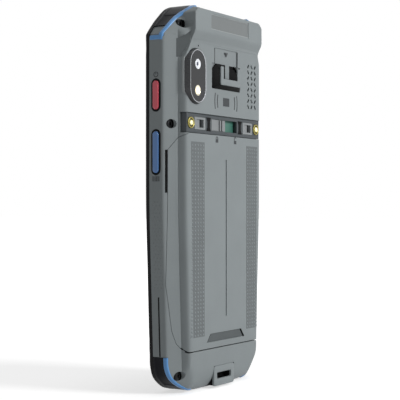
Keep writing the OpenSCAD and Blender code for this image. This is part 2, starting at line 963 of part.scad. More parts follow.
module seal_outline(grow) {
    translate([-bay_w / 2 - grow, bay_z - grow])
        square([bay_w + 2 * grow, bay_h + 2 * grow]);
}

module nfc_antenna() {
    color("#b0763a")
        plate(inner_back - 0.3, inner_back - 0.02)
            translate([0, nfc_z])
                difference() {
                    square([20, 8], center = true);
                    square([16, 5], center = true);
                }
}

module loudspeaker() {
    color("#33363a")
        block([speaker_x - speaker_w / 2, speaker_x + speaker_w / 2], [board_back + 0.1, inner_back - 0.5],
              [speaker_z - speaker_h / 2, speaker_z + speaker_h / 2]);
}

module speaker_mesh() {
    color("#1b1d1f")
        block([speaker_x - speaker_w / 2, speaker_x + speaker_w / 2 - 0.6],
              [inner_back - 0.4, inner_back - 0.05],
              [speaker_z - speaker_h / 2, speaker_z + speaker_h / 2]);
}

module camera_bezel() {
    color(trim_black)
        difference() {
            union() {
                plate(body_t + 0.02, body_t + camera_raise)
                    translate([-camera_x, camera_z])
                        stadium(camera_w, camera_h);
                plate(inner_back - 0.4, body_t + 0.5)
                    translate([-camera_x, camera_z])
                        stadium(camera_neck, camera_h - camera_w + camera_neck);
            }
            plate(body_t + camera_raise - 1, head_t + over)
                translate([-camera_x, camera_z])
                    stadium(camera_w - 2 * camera_rim, camera_h - 2 * camera_rim);
            post(-camera_x, camera_z + lens_offset, lens_d + 0.3, [side_t, head_t + over]);
            post(-camera_x, camera_z - flash_offset, flash_d + 0.3, [side_t, head_t + over]);
        }
}

module camera_glass() {
    color("#2a2d31")
        plate(body_t + camera_raise - 0.98, body_t + camera_raise - 0.25)
            translate([-camera_x, camera_z])
                stadium(camera_w - 2 * camera_rim - 0.1, camera_h - 2 * camera_rim - 0.1);
}

module camera_module() {
    color("#202327")
        union() {
            block([-camera_x - 4.4, -camera_x + 4.4], [board_back + 0.1, 13],
                  [camera_z + lens_offset - 4.4, camera_z + lens_offset + 4.4]);
            post(-camera_x, camera_z + lens_offset, lens_d, [12, body_t + camera_raise - 1.05]);
        }
}

module flash_led() {
    color("#f2ecd0")
        union() {
            block([-camera_x - 2.4, -camera_x + 2.4], [board_back + 0.1, 13],
                  [camera_z - flash_offset - 2.4, camera_z - flash_offset + 2.4]);
            post(-camera_x, camera_z - flash_offset, flash_d, [12, body_t + camera_raise - 1.05]);
        }
}

module scan_engine() {
    color("#26292d")
        union() {
            block([-window_w / 2 + 0.5, window_w / 2 - 0.5], engine_d, [head_crease + 1.6, engine_top]);
            block([-window_w / 2 + 2, window_w / 2 - 2], [board_back + 0.05, engine_d[0] + 2],
                  [head_crease - 4, head_crease + 3]);
        }
}

module scan_window() {
    color("#3a1418")
        union() {
            top_block(window_w / 2, window_s, [-1.15, -0.1]);
            top_block(window_w / 2 - 1.1, [window_s[0] + 1.1, window_s[1] - 1.1], [-wall - 0.1, -1]);
        }
}

// Drafted foot of the hood: four sloping sides cut from a block
module strap_anchor_base() {
    rise = hood_raise - 0.7;
    draft = (hood_w - hood_face_w) / 2 - 0.3;
    foot = body_t - 0.55;
    profile_x = [
        [-hood_w / 2, at(foot)], [-hood_w / 2, at(body_t)],
        [-hood_w / 2 + draft, at(body_t + rise)], [hood_w / 2 - draft, at(body_t + rise)],
        [hood_w / 2, at(body_t)], [hood_w / 2, at(foot)]
    ];
    profile_z = [
        [at(foot), hood_z - hood_h / 2], [at(body_t), hood_z - hood_h / 2],
        [at(body_t + rise), hood_z - hood_h / 2 + 1.6],
        [at(body_t + rise), hood_z + hood_h / 2 - 1.2],
        [at(body_t - channel_depth), hood_z + hood_h / 2], [at(foot), hood_z + hood_h / 2]
    ];
    color(trim_black)
        difference() {
            intersection() {
                translate([0, 0, hood_z - hood_h])
                    linear_extrude(2 * hood_h)
                        polygon(profile_x);
                slab(-hood_w, hood_w)
                    polygon(profile_z);
            }
            block([-hood_window_w / 2 - 0.5, hood_window_w / 2 + 0.5], [body_t - 0.1, body_t + far],
                  [hood_z - hood_h / 2 + 1.6 + hood_lip - 0.6, hood_z + hood_h]);
        }
}

module strap_anchor_cap() {
    face_z = hood_z - hood_h / 2 + 1.7;
    face_h = hood_h - 3;
    color(housing_grey)
        plate(body_t + hood_raise - 0.68, body_t + hood_raise)
            difference() {
                translate([0, face_z + face_h / 2])
                    rounded(hood_face_w, face_h, 0.8);
                translate([-hood_window_w / 2, face_z + hood_lip])
                    square([hood_window_w, face_h]);
            }
}

module strap_loop() {
    color(housing_grey)
        difference() {
            plate(loop_back, loop_face)
                translate([0, loop_z + loop_h / 2])
                    rounded(loop_w, loop_h, 0.9);
            block([-loop_slot_w / 2, loop_slot_w / 2], [loop_back + over, loop_face + over],
                  [loop_z + loop_bar, loop_z + loop_bar + loop_slot_h]);
            block([-loop_slot_w / 2, loop_slot_w / 2], [loop_back + over, loop_face - loop_bar_t],
                  [-over, loop_z + loop_bar + loop_slot_h]);
        }
}

module contact_strip() {
    color("#3a3e42")
        difference() {
            intersection() {
                body_form(strip_sink);
                block([-strip_w / 2, strip_w / 2], [strip_back, strip_face],
                      [strip_z, strip_top]);
            }
            // Slot of the latch, wider below its lips
            block([-slot_w / 2, slot_w / 2], [strip_back - over, body_t],
                  [strip_mid - slot_h / 2, strip_mid + slot_h / 2]);
            block([-slot_w / 2 - 0.7, slot_w / 2 + 0.7], [strip_back - over, flange_back + slider_gap],
                  [strip_mid - flange_h / 2 - slider_gap, strip_mid + flange_h / 2 + slider_gap]);
            block([slider_x - 0.2, slider_x + latch_travel + slider_w + 0.2],
                  [flange_front - slider_gap, flange_back + slider_gap],
                  [strip_z - over, strip_mid]);
            // Pockets of the hook frames and holes of the contacts
            both_sides() {
                block([hook_x - hook_w / 2 - 0.05, hook_x + hook_w / 2 + 0.05],
                      [strip_back + 0.7, body_t],
                      [strip_mid - hook_h / 2 - 0.05, strip_mid + hook_h / 2 + 0.05]);
                post(contact_x, strip_mid, contact_d + 0.1, [strip_back + 0.7, body_t]);
            }
        }
}

module strip_contacts() {
    color(gold)
        both_sides()
            translate([contact_x, at(strip_back + 0.75), strip_mid])
                rotate([90, 0, 0])
                    rotate_extrude()
                        polygon([
                            [0, 0], [contact_d / 2, 0], [contact_d / 2, 1.7], [contact_d / 2 - 0.5, 2],
                            [1.5, 2], [1.3, 2.3], [0.8, 2.6], [0, 2.7]
                        ]);
}

module hook_frames() {
    color("#9a9d9f")
        both_sides()
            difference() {
                plate(strip_back + 0.75, strip_face + 0.1)
                    translate([hook_x, strip_mid])
                        rounded(hook_w, hook_h, 0.4);
                block([hook_x - hook_w / 2 + 1.4, hook_x + hook_w / 2 - 1.4],
                      [strip_back + 1.3, body_t],
                      [strip_mid - hook_h / 2 + 0.9, strip_mid + hook_h / 2 - 0.9]);
            }
}

module latch_floor() {
    color("#2f9a72")
        block([-slot_w / 2 - 0.6, slot_w / 2 + 0.6], [strip_back, strip_back + floor_t],
              [strip_mid - flange_h / 2, strip_mid + flange_h / 2]);
}

module latch_slider() {
    color("#9a9fa3")
        union() {
            block([slider_x, slider_x + slider_w], [flange_front, strip_face - 0.3],
                  [strip_mid - slot_h / 2 + slider_gap, strip_mid + slot_h / 2 - slider_gap]);
            block([slider_x, slider_x + slider_w], [flange_front, flange_back],
                  [strip_mid - flange_h / 2, strip_mid + flange_h / 2]);
            for (x = [slider_w - 5.4, slider_w - 3.4])
                block([slider_x + x, slider_x + x + 0.9], [strip_face - 0.4, strip_face + 0.2],
                      [strip_mid - slot_h / 2 + 0.3, strip_mid + slot_h / 2 - 0.3]);
            // Tongue over the cover's top edge
            block([slider_x + 2, slider_x + slider_w - 3], [flange_front, flange_back],
                  [cover_top + 0.15, strip_mid]);
        }
}

module battery_cover() {
    color(housing_grey)
        difference() {
            union() {
                difference() {
                    intersection() {
                        body_form(0);
                        cover_zone(0);
                    }
                    body_form(cover_t);
                }
                // Hooks round the pivot bars
                for (span = bar_spans)
                    translate([span[0] + 0.3, at(pivot_d), pivot_z])
                        rotate([0, 90, 0])
                            cylinder(h = span[1] - span[0] - 0.6, r = hook_r);
            }
            // Bore of the hooks, their mouth and room for the posts
            for (span = bar_spans) {
                translate([span[0] - post_w - 0.15, at(pivot_d), pivot_z])
                    rotate([0, 90, 0])
                        cylinder(h = span[1] - span[0] + 2 * post_w + 0.3, r = pivot_r + pivot_play);
                for (x = [span[0] - post_w - 0.15, span[1] - 0.15])
                    translate([x, at(pivot_d), pivot_z])
                        rotate([0, 90, 0])
                            cylinder(h = post_w + 0.3, r = post_clear_r);
                block([span[0], span[1]],
                      [pivot_d - hook_r - over, pivot_d + pivot_r + pivot_play - 0.01],
                      [pivot_z - 4, pivot_z]);
            }
            // Lower end follows the pivot's arc
            difference() {
                block([-half_w, half_w], [pivot_d - 6, body_t + over], [cover_z - 2, pivot_z]);
                translate([-half_w, at(pivot_d), pivot_z])
                    rotate([0, 90, 0])
                        cylinder(h = body_w, r = cover_end_r);
            }
            // Groove down the middle and thumb recess
            block([-groove_w / 2, groove_w / 2], [body_t - groove_depth, body_t + over],
                  [cover_z + 13.3, cover_top - 10.7]);
            plate(body_t - scoop_depth, body_t + over)
                polygon([
                    [-16.5, cover_z + 2.6], [16.5, cover_z + 2.6],
                    [13.5, cover_z + 6.4], [-13.5, cover_z + 6.4]
                ]);
        }
}

module cover_pad() {
    color("#3d4044")
        block([-18, 18], [body_t - cover_t - pad_t, body_t - cover_t - 0.02],
              [pack_z + 14, pack_z + pack_h - 14]);
}

module battery_pack() {
    color("#4a5057")
        block([-pack_w / 2, pack_w / 2], [pack_d, body_t - cover_t - pad_t - 0.1],
              [pack_z, pack_z + pack_h]);
}

module battery_contacts() {
    color(gold)
        block([-4.6, 4.6], [bay_bottom, bay_bottom + 3],
              [pack_z + pack_h + 0.15, bay_z + bay_h + 3.8]);
}

module bay_seal() {
    color("#16181a")
        plate(seat_depth - seal_t + fit, seat_depth + 0.1)
            difference() {
                seal_outline(seal_gap + seal_w);
                seal_outline(seal_gap);
            }
}

module top_bumpers() {
    color(trim_black)
        bumpers(true);
}

module top_accents() {
    color(accent_blue)
        accents(true);
}

module foot_bumpers() {
    color(trim_black)
        bumpers(false);
}

module foot_accents() {
    color(accent_blue)
        accents(false);
}

module housing_screws() {
    color("#141516")
        for (p = screw_places)
            for (s = [-1, 1])
                union() {
                    difference() {
                        post(s * p[0], p[1], screw_d, [p[2] - screw_head + 0.02, p[2]]);
                        post(s * p[0], p[1], 1.5, [p[2] - 0.7, p[2] + over]);
                    }
                    post(s * p[0], p[1], screw_shank, [screw_tip + 0.2, p[2] - screw_head + 0.1]);
                }
}

module key_switches() {
    color("#d8cfa8")
        for (key = side_keys)
            slab(key[0] > 0 ? notch_x + 0.02 : -switch_x, key[0] > 0 ? switch_x : -notch_x - 0.02)
                translate([at(key_t), key[1]])
                    square([2.8, 3.6], center = true);
}

module power_key() {
    color(key_red)
        side_key(-1, power_z, power_h);
}

module scan_key_right() {
    color(accent_blue)
        side_key(-1, scan_z, scan_h);
}

module scan_key_left() {
    color(accent_blue)
        side_key(1, scan_z, scan_h);
}

module volume_up_key() {
    color("#3a3e42")
        side_key(1, volume_up_z, volume_h);
}

module volume_down_key() {
    color("#3a3e42")
        side_key(1, volume_down_z, volume_h);
}

front_glass();
display_panel();
front_bezel();
earpiece();
front_camera();
mid_frame();
main_board();
board_shields();
lower_board();
usb_port();
vibration_motor();
rear_housing();
nfc_antenna();
loudspeaker();
speaker_mesh();
camera_bezel();
camera_glass();
camera_module();
flash_led();
scan_engine();
scan_window();
strap_anchor_base();
strap_anchor_cap();
strap_loop();
contact_strip();
strip_contacts();
hook_frames();
latch_floor();
latch_slider();
battery_cover();
cover_pad();
battery_pack();
battery_contacts();
bay_seal();
top_bumpers();
top_accents();
foot_bumpers();
foot_accents();
housing_screws();
key_switches();
power_key();
scan_key_right();
scan_key_left();
volume_up_key();
volume_down_key();
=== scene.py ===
"""Handheld barcode data terminal: moulded shells, trims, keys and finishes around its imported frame.

Lengths in this file are millimetres unless a property says otherwise. Depths are measured from the
front glass towards the back, as the frame's own sizes are.
"""

import math

import bmesh
import bpy
import numpy as np
from bpy.props import FloatProperty, FloatVectorProperty, IntProperty, PointerProperty
from mathutils import Matrix, Vector


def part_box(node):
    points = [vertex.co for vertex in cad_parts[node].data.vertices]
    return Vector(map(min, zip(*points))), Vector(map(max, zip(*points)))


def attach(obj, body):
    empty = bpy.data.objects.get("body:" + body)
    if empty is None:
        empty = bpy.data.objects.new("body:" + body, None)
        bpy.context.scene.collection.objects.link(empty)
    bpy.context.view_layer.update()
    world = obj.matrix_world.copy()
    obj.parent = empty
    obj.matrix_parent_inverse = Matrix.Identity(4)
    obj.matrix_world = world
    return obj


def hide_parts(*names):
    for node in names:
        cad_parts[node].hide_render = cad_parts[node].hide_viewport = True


bl_info = {
    "name": "Data Terminal",
    "version": (1, 0, 0),
    "blender": (4, 5, 0),
    "location": "View3D > Sidebar > Terminal",
    "description": "Builds a handheld data terminal around its frame",
    "category": "Object",
}

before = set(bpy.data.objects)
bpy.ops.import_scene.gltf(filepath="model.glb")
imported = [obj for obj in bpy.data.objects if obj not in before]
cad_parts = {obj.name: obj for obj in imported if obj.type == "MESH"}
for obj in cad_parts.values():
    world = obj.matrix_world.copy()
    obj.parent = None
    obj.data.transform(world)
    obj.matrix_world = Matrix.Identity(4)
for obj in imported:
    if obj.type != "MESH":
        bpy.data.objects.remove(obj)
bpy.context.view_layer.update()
MM = 0.001
# Distance within which points are one, in millimetres
WELD = 0.001


# ---------------------------------------------------------------- sizes and colours

def box_mm(node):
    """Lowest and highest corners of a node of the frame, in millimetres."""
    low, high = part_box(node)
    return low / MM, high / MM


def middle(box, axis):
    """Middle of a box along an axis."""
    return (box[0][axis] + box[1][axis]) / 2


HALF_W, FRONT_Y, BODY_H = box_mm("front_bezel")[1]
COVER = box_mm("battery_cover")
HEAD_T = FRONT_Y - box_mm("rear_housing")[0].y
BODY_T = FRONT_Y - COVER[0].y


def colour(text):
    """Linear colour with full alpha from an sRGB hex text."""
    parts = [int(text[i:i + 2], 16) / 255 for i in (1, 3, 5)]
    return [c / 12.92 if c <= 0.04045 else ((c + 0.055) / 1.055) ** 2.4 for c in parts] + [1.0]


def length(name, description, default, **limits):
    """Property for a length in metres, given in millimetres."""
    return FloatProperty(name=name, description=description, default=default * MM,
                         unit="LENGTH", precision=5, **limits)


def paint(name, description, default):
    """Property for a colour, given as sRGB hex text."""
    return FloatVectorProperty(name=name, description=description, default=colour(default)[:3],
                               subtype="COLOR", min=0, max=1)


class TerminalShell(bpy.types.PropertyGroup):
    edge: length("Edge rounding", "Radius of the moulded edges of the back", 0.9, min=0.0002)
    crisp: length("Crisp edges", "Radius of the edges of the head and the front rim", 0.35, min=0.0001)
    soft: length("Soft edge", "Radius of the long edges between the back and its slopes", 2.0, min=0.0002)
    crown: length("Crown", "How much lower the back lies at its edges than in its middle", 0.35)
    seam: length("Seam", "How far the finished surface lies below the frame's", 0.03, min=0.00001)
    fillet: length("Fillet", "Radius at the foot of the raised head", 0.8, min=0.0002)


class TerminalKnurl(bpy.types.PropertyGroup):
    dot: length("Dot width", "Width of one knurl dot", 1.25)
    height: length("Dot height", "Height of one knurl dot", 0.16)
    row_pitch: length("Row pitch", "Distance between the rows of dots", 1.68)
    column_pitch: length("Column pitch", "Distance between the columns of dots", 2.15)


class TerminalPaint(bpy.types.PropertyGroup):
    housing: paint("Housing", "Grey of the moulded housing", "#8a9193")
    trim: paint("Trim", "Black of the bezel and the strap anchor", "#121315")
    bumper: paint("Bumper", "Dark navy of the corner bumpers", "#0c0e14")
    accent: paint("Accent", "Blue of the ribbons along the bumpers", "#5f9ad6")
    power: paint("Power key", "Red of the power key", "#cf3b50")
    scan: paint("Scan key", "Blue of the scan keys", "#3d74b4")


class TerminalStage(bpy.types.PropertyGroup):
    key_power: FloatProperty(name="Key light", description="Power of the main soft lamp",
                             default=15, unit="POWER")
    world: FloatProperty(name="World", description="Strength of the light from all round",
                         default=0.22, min=0)
    floor_glow: FloatProperty(name="Floor glow", description="How much white the floor adds for the eye",
                              default=0.6, min=0)
    lens: FloatProperty(name="Lens", description="Focal length of the camera", default=104.4,
                        subtype="DISTANCE_CAMERA")


# ---------------------------------------------------------------- materials

def add(tree, kind, inputs=None, **settings):
    """Add a node, set its settings, and fill or link its inputs."""
    node = tree.nodes.new(kind)
    for name, value in settings.items():
        setattr(node, name, value)
    for name, value in (inputs or {}).items():
        if isinstance(value, bpy.types.NodeSocket):
            tree.links.new(value, node.inputs[name])
        else:
            node.inputs[name].default_value = value
    return node


def blank(name):
    """Empty material with an output: its tree and its surface input."""
    old = bpy.data.materials.get(name)
    if old:
        bpy.data.materials.remove(old)
    material = bpy.data.materials.new(name)
    material.use_nodes = True
    tree = material.node_tree
    tree.nodes.clear()
    out = add(tree, "ShaderNodeOutputMaterial")
    return material, tree, out.inputs["Surface"]


SOCKETS = {
    "specular": "Specular IOR Level", "metallic": "Metallic", "coat": "Coat Weight",
    "coat_roughness": "Coat Roughness", "coat_tint": "Coat Tint",
    "glow": "Emission Color", "glow_strength": "Emission Strength",
}


def grained(name, base, roughness, grain=0.35, relief=0.02, mottle=0.05, **settings):
    """Moulded or coated surface: grain is the texture's width and relief its height, in millimetres."""
    base = colour(base) if isinstance(base, str) else base
    material, tree, surface = blank(name)
    place = add(tree, "ShaderNodeTexCoord").outputs["Object"]
    # Slow clouding of the colour, 14 mm wide, as uneven mould cooling and handling leave it
    cloud = add(tree, "ShaderNodeTexNoise", {"Vector": place, "Scale": 1 / (14 * MM), "Detail": 3.0})
    fine = add(tree, "ShaderNodeTexNoise", {"Vector": place, "Scale": 1 / (grain * MM), "Detail": 2.0})

    def spanned(noise, low, high):
        return add(tree, "ShaderNodeMapRange", {"Value": noise.outputs["Fac"], "From Min": 0.3,
                                                "From Max": 0.7, "To Min": low, "To Max": high})

    shade = spanned(cloud, 1 - mottle, 1 + mottle)
    tint = add(tree, "ShaderNodeVectorMath", {0: list(base)[:3], "Scale": shade.outputs["Result"]},
               operation="SCALE")
    gloss = spanned(fine, roughness - 0.06, roughness + 0.06)
    bump = add(tree, "ShaderNodeBump", {"Height": fine.outputs["Fac"], "Strength": 0.6,
                                        "Distance": relief * MM})
    shader = add(tree, "ShaderNodeBsdfPrincipled", {
        "Base Color": tint.outputs["Vector"], "Roughness": gloss.outputs["Result"],
        "Normal": bump.outputs["Normal"], **{SOCKETS[key]: value for key, value in settings.items()}})
    tree.links.new(shader.outputs[0], surface)
    return material


def material_set(paints):
    """Every finish of the terminal by name."""
    def darker(share):
        return [c * share for c in paints.housing]

    return {
        # PC/ABS, spark-eroded mould: matt, fine even grain, slightly warm grey
        "housing": grained("moulded_pc_abs_grey", paints.housing, 0.58, 0.45, 0.03, 0.03, specular=0.3),
        # The same resin, duller where fingers rub it
        "grip": grained("moulded_pc_abs_grip", darker(0.8), 0.62, 0.4, 0.03, 0.04),
        # Black PC with a satin mould: soft broad highlights
        "trim": grained("satin_pc_black", paints.trim, 0.5, 0.3, 0.015, 0.05, specular=0.12),
        # Glass-filled nylon, charcoal black and matt. Its black also stands in for part of the shadow on
        # the walls of the hood and the loop, and it is painted shade where there is only shade: the loop's
        # slot, the hood's cheeks, the screw wells, the side grooves, the nail slots, the wedges beside the
        # loop and the thumb recess's side walls
        "anchor": grained("moulded_pa_black_and_painted_shade", "#08090a", 0.6, 0.4, 0.02, 0.08, specular=0.08),
        # Bed between the knurl's dots, a darker grey than the housing
        "knurl": grained("moulded_pc_abs_knurl", darker(0.6), 0.6, 0.4, 0.02, 0.04, specular=0.3),
        # Polyester label stock, a shade darker than the housing and smoother
        "label": grained("polyester_label_grey", "#74797a", 0.38, 0.6, 0.006, 0.02),
        # The housing's resin painted half as dark, with a coarse grain: painted shade on the floors of the
        # thumb recess and of the hollows beside the head
        "shaded_floor": grained("moulded_pc_abs_painted_shade", darker(0.5), 0.8, 0.5, 0.05, 0.05, specular=0.15),
        # PC/ABS with a finer mould in a paler grey: a painted highlight along the thin edges of the
        # camera's step and the label's border
        "highlight_grey": grained("moulded_pc_abs_painted_highlight", "#9aa0a1", 0.45, 0.4, 0.01, 0.02),
        # Diamond-cut aluminium: a fine bright line round the camera
        "rim": grained("diamond_cut_aluminium", "#b9bcc0", 0.3, 0.3, 0.003, 0.05, metallic=1.0),
        # Glossy black PC/ABS that mirrors the pale room a little on its flared foot
        "island": grained("glossy_pc_black", "#24272a", 0.3, 0.3, 0.006, 0.05, specular=0.45),
        # Near-white collar of the lens with a little metal: a painted highlight, the white ring round the
        # dark pupil
        "barrel": grained("lens_collar_painted_highlight", "#e6e9ee", 0.42, 0.2, 0.004, 0.06, metallic=0.35),
        # Coated lens: near black with a hard bluish glint
        "coated_lens": grained("coated_lens_glass", "#0b0d16", 0.04, 2.0, 0.0, 0.1, coat=1.0,
                               coat_roughness=0.01, coat_tint=colour("#b8c8ff")),
        # Metallised reflector of the flash: warm, slightly spread glints
        "reflector": grained("aluminised_pc", "#d9d3c0", 0.2, 0.6, 0.01, 0.05, metallic=1.0),
        # Contact domes in a much lighter gold than their rings: a painted highlight
        "highlight_gold": grained("gold_plating_painted_highlight", "#f6f0c0", 0.3, 0.6, 0.001, 0.03, metallic=1.0),
        # Pad-printed ink, dark grey and flat
        "ink": grained("pad_printed_ink", "#35393c", 0.7, 0.4, 0.002, 0.06),
        # Overmoulded TPU: dark, rubbery sheen
        "bumper": grained("overmoulded_tpu_navy", paints.bumper, 0.45, 0.3, 0.02, 0.08, specular=0.12),
        # Two-shot TPU line: saturated and slightly glossy
        "accent": grained("overmoulded_tpu_blue", paints.accent, 0.4, 0.3, 0.01, 0.03),
        # Painted PC key caps under a clear hard coat: saturated with a clean glint
        "power": grained("hard_coated_pc_red", paints.power, 0.35, 0.3, 0.005, 0.02, coat=0.5,
                         coat_roughness=0.15),
        "scan": grained("hard_coated_pc_blue", paints.scan, 0.35, 0.3, 0.005, 0.02, coat=0.5,
                        coat_roughness=0.15),
        # Uncoated PC key caps: plain dark grey
        "dark_key": grained("moulded_pc_charcoal", "#34383c", 0.5),
        # Strengthened glass printed black on its inner face: a clean mirror over black
        "glass": grained("black_printed_glass", "#08090b", 0.09, 2.0, 0.0, 0.02, coat=1.0,
                         coat_roughness=0.02),
        # Smoked glass over the camera: dark grey with a faint mirror
        "lens_glass": grained("smoked_camera_glass", "#26282b", 0.16, 2.0, 0.0, 0.1, specular=0.35),
        # Glass-filled nylon, natural charcoal: mottled and matt
        "strip": grained("glass_filled_pa_charcoal", "#52575a", 0.55, 0.4, 0.02, 0.08, specular=0.2),
        # Hard gold over nickel: polished, rounded glints
        "gold": grained("hard_gold_plating", "#8f864c", 0.4, 0.6, 0.002, 0.05, metallic=1.0),
        # Moulded nylon and acetal of the strip's fittings: pale, waxy greys and a soft green
        "hook": grained("moulded_pa_silver", "#8b9092", 0.45, 0.3, 0.01, 0.04),
        "green": grained("moulded_pc_green", "#3d7264", 0.45, 0.3, 0.01, 0.08),
        "slider": grained("moulded_pom_grey", "#85898b", 0.45, 0.3, 0.01, 0.04),
        # Black-oxide steel: dark with a metallic edge glint
        "screw": grained("black_oxide_steel", "#1d1e20", 0.38, 0.2, 0.006, 0.1, metallic=0.85),
        # Tinned steel cans and die-cast magnesium inside: bright, and dull with a coarse skin
        "steel": grained("tinned_steel", "#b5b8ba", 0.3, 0.8, 0.004, 0.05, metallic=1.0),
        "alloy": grained("die_cast_magnesium", "#6d7175", 0.5, 0.5, 0.02, 0.08, metallic=0.9),
        # Solder mask over copper: glossy green that clouds with the tracks below
        "board": grained("solder_mask_green", "#1f5a3c", 0.35, 1.4, 0.02, 0.2),
        # Bare copper tracks: a warm metallic sheen
        "copper": grained("etched_copper", "#b8743a", 0.35, 0.5, 0.004, 0.1, metallic=1.0),
        # Closed-cell foam: dark and dull, without a glint
        "foam": grained("closed_cell_foam", "#2c2e31", 0.9, 0.5, 0.08, 0.15),
        # PET film round the cell: smooth, dark and slightly wavy
        "battery": grained("pet_wrapped_cell", "#3f454c", 0.35, 3.0, 0.03, 0.05),
        # Moulded LCP and PPS of the inner parts: plain and even, one black and one creamy. The black is
        # also painted shade on the floors of the hook wells
        "black": grained("moulded_lcp_black", "#17181a", 0.5),
        # Woven mesh: matt black with a coarse speckle
        "mesh": grained("woven_acoustic_mesh", "#101112", 0.7, 0.3, 0.05, 0.3),
        "cream": grained("moulded_pps_cream", "#d8cfa8", 0.5),
        # Phosphor over the flash chips: creamy, with a painted glow; the flash is not lit
        "flash_glow": grained("phosphor_painted_glow", "#f5e6b8", 0.35, 0.4, 0.02, 0.1, glow=colour("#fff0cc"),
                       glow_strength=0.9),
        # Red-tinted PMMA of the scan window: near black until light falls through it
        "window": grained("red_tinted_pmma", "#2a0a0e", 0.08, 2.0, 0.0, 0.05, coat=1.0,
                          coat_roughness=0.03),
    }


FINISH = {}


def finish_of(name):
    """Material of a finish; all are made when the first is asked for."""
    if not FINISH:
        FINISH.update(material_set(bpy.context.scene.terminal_paint))
    return FINISH[name]


# ---------------------------------------------------------------- pieces

def painted(mesh, finish):
    """Give a mesh one finish in place of what it had."""
    mesh.materials.clear()
    mesh.materials.append(finish_of(finish))


def piece(name, mesh, finish, slot, *nodes, body="housing"):
    """Put a mesh, or several as one, in the scene as a piece that rides on a body and stands for nodes."""
    if isinstance(mesh, list):
        mesh = combined(mesh)
    thing = bpy.data.objects.new(name, mesh)
    mesh.name = name
    bpy.context.scene.collection.objects.link(thing)
    painted(mesh, finish)
    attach(thing, body)
    if nodes:
        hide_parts(*nodes)


def edited(mesh, change):
    """A mesh after a change made to it as an editable shape."""
    shape = bmesh.new()
    shape.from_mesh(mesh)
    change(shape)
    shape.to_mesh(mesh)
    shape.free()
    return mesh


def merged(node):
    """Copy of a node's mesh with its loose triangles joined."""
    def weld(shape):
        bmesh.ops.remove_doubles(shape, verts=shape.verts, dist=WELD * MM)
        for face in shape.faces:
            face.smooth = False

    mesh = edited(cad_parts[node].data.copy(), weld)
    if "custom_normal" in mesh.attributes:
        mesh.attributes.remove(mesh.attributes["custom_normal"])
    return mesh


def loose(name, mesh):
    """Working object that is removed again when its shape is taken."""
    thing = bpy.data.objects.new(name, mesh)
    bpy.context.scene.collection.objects.link(thing)
    return thing


def taken(thing):
    """Final mesh of a working object with its modifiers applied; the object goes."""
    graph = bpy.context.evaluated_depsgraph_get()
    mesh = bpy.data.meshes.new_from_object(thing.evaluated_get(graph))
    bpy.data.objects.remove(thing)
    return mesh


def smoothed(mesh, degrees=32):
    """Shade a mesh smooth, with sharp edges where its faces turn by more than an angle."""
    mesh.shade_smooth()
    mesh.set_sharp_from_angle(angle=math.radians(degrees))
    return mesh


def joined(first, second, operation):
    """Result of a boolean between two meshes."""
    a, b = loose("boolean_a", first), loose("boolean_b", second)
    modifier = a.modifiers.new("boolean", "BOOLEAN")
    modifier.operation = operation
    modifier.solver = "EXACT"
    modifier.object = b
    mesh = taken(a)
    bpy.data.objects.remove(b)
    if not mesh.polygons:
        raise RuntimeError(f"the boolean {operation} came out empty")
    return mesh


def bevelled(node, radius):
    """Copy of a node with its edges rounded."""
    def flatten(shape):
        bmesh.ops.dissolve_limit(shape, angle_limit=math.radians(0.5), verts=shape.verts,
                                 edges=shape.edges)

    thing = loose(node, edited(merged(node), flatten))
    modifier = thing.modifiers.new("edges", "BEVEL")
    modifier.width = radius * MM
    modifier.segments = 3
    modifier.limit_method = "ANGLE"
    modifier.angle_limit = math.radians(25)
    return smoothed(taken(thing))


# ---------------------------------------------------------------- the moulded form

# The walls lean in from TAPER_TOP down to the top of the foot's corners
TAPER_TOP = 80.0
FOOT_W = 72.4
LEAN = (HALF_W - FOOT_W / 2) / (TAPER_TOP - 11)
# Half the width of the flat of the back, which the crown bends
FLAT_HALF = HALF_W - 7
# Outlines: the section of a side by (x beyond the wall, depth), the corners of the front view by
# (x beyond the wall, z beyond the end), and the foot's section by (z, depth)
CROSS = [(0, -40), (0, 8.8), (-6, 12.8), (-7, 17)]
TOP_CORNER = [(0, -14.3), (-4.3, -9.4), (-11.5, -3.4), (-14.9, -1.2), (-18.6, 0)]
FOOT_CORNER = [(-18, 0), (-12.7, 0.5), (-8.6, 1.8), (-4, 4.8), (-1.2, 7.7), (0, 11)]
FOOT_CURVE = [(0, 10.6), (0.7, 12), (2.1, 13.4), (4.3, 14.9), (9.3, 16.3), (18.3, 17)]
# Lines along the corners that the slopes of the back follow: a point and the way the line runs
TOP_LINE = ((-4.3, -9.4), (-5, 6))
FOOT_LINE = ((-4, 4.8), (4.4, 5.6))
TOP_SLOPE = [(0.6, 9.2), (-2.6, 12.8), (-5.6, 17)]
FOOT_SLOPE = [(0.6, 9.2), (-4, 13.8), (-7.6, 17)]
# The end of the head is upright to a depth of TOP_FLAT and falls by TOP_FALL behind it
TOP_FLAT = 10.0
TOP_FALL = 2.8
# The raised head: half its width, where it starts, and its section by (z, depth)
HEAD_HALF = 29.2
HEAD_FOOT = 152.3
HEAD_PROFILE = [(150.39, 16), (156.7, 19.3), (190, 19.3)]
# Upright line inside the body from which the form is measured
SPINE = (34.0, 140.0)
SPINE_DEPTH = 6.0
# Height over which the walls turn from upright to leaning
SOFT_TAPER = 5.0


def softened(path):
    """Path with its corners cut twice, which keeps it inside the convex outline it came from."""
    for _ in range(2):
        cut = [path[0]]
        for (a0, b0), (a1, b1) in zip(path, path[1:]):
            cut += [(a0 * 0.78 + a1 * 0.22, b0 * 0.78 + b1 * 0.22),
                    (a0 * 0.22 + a1 * 0.78, b0 * 0.22 + b1 * 0.78)]
        path = cut + [path[-1]]
    return path


SOFT_TOP = softened(TOP_CORNER)
SOFT_FOOT = softened(FOOT_CORNER)
SOFT_END = softened(FOOT_CURVE)


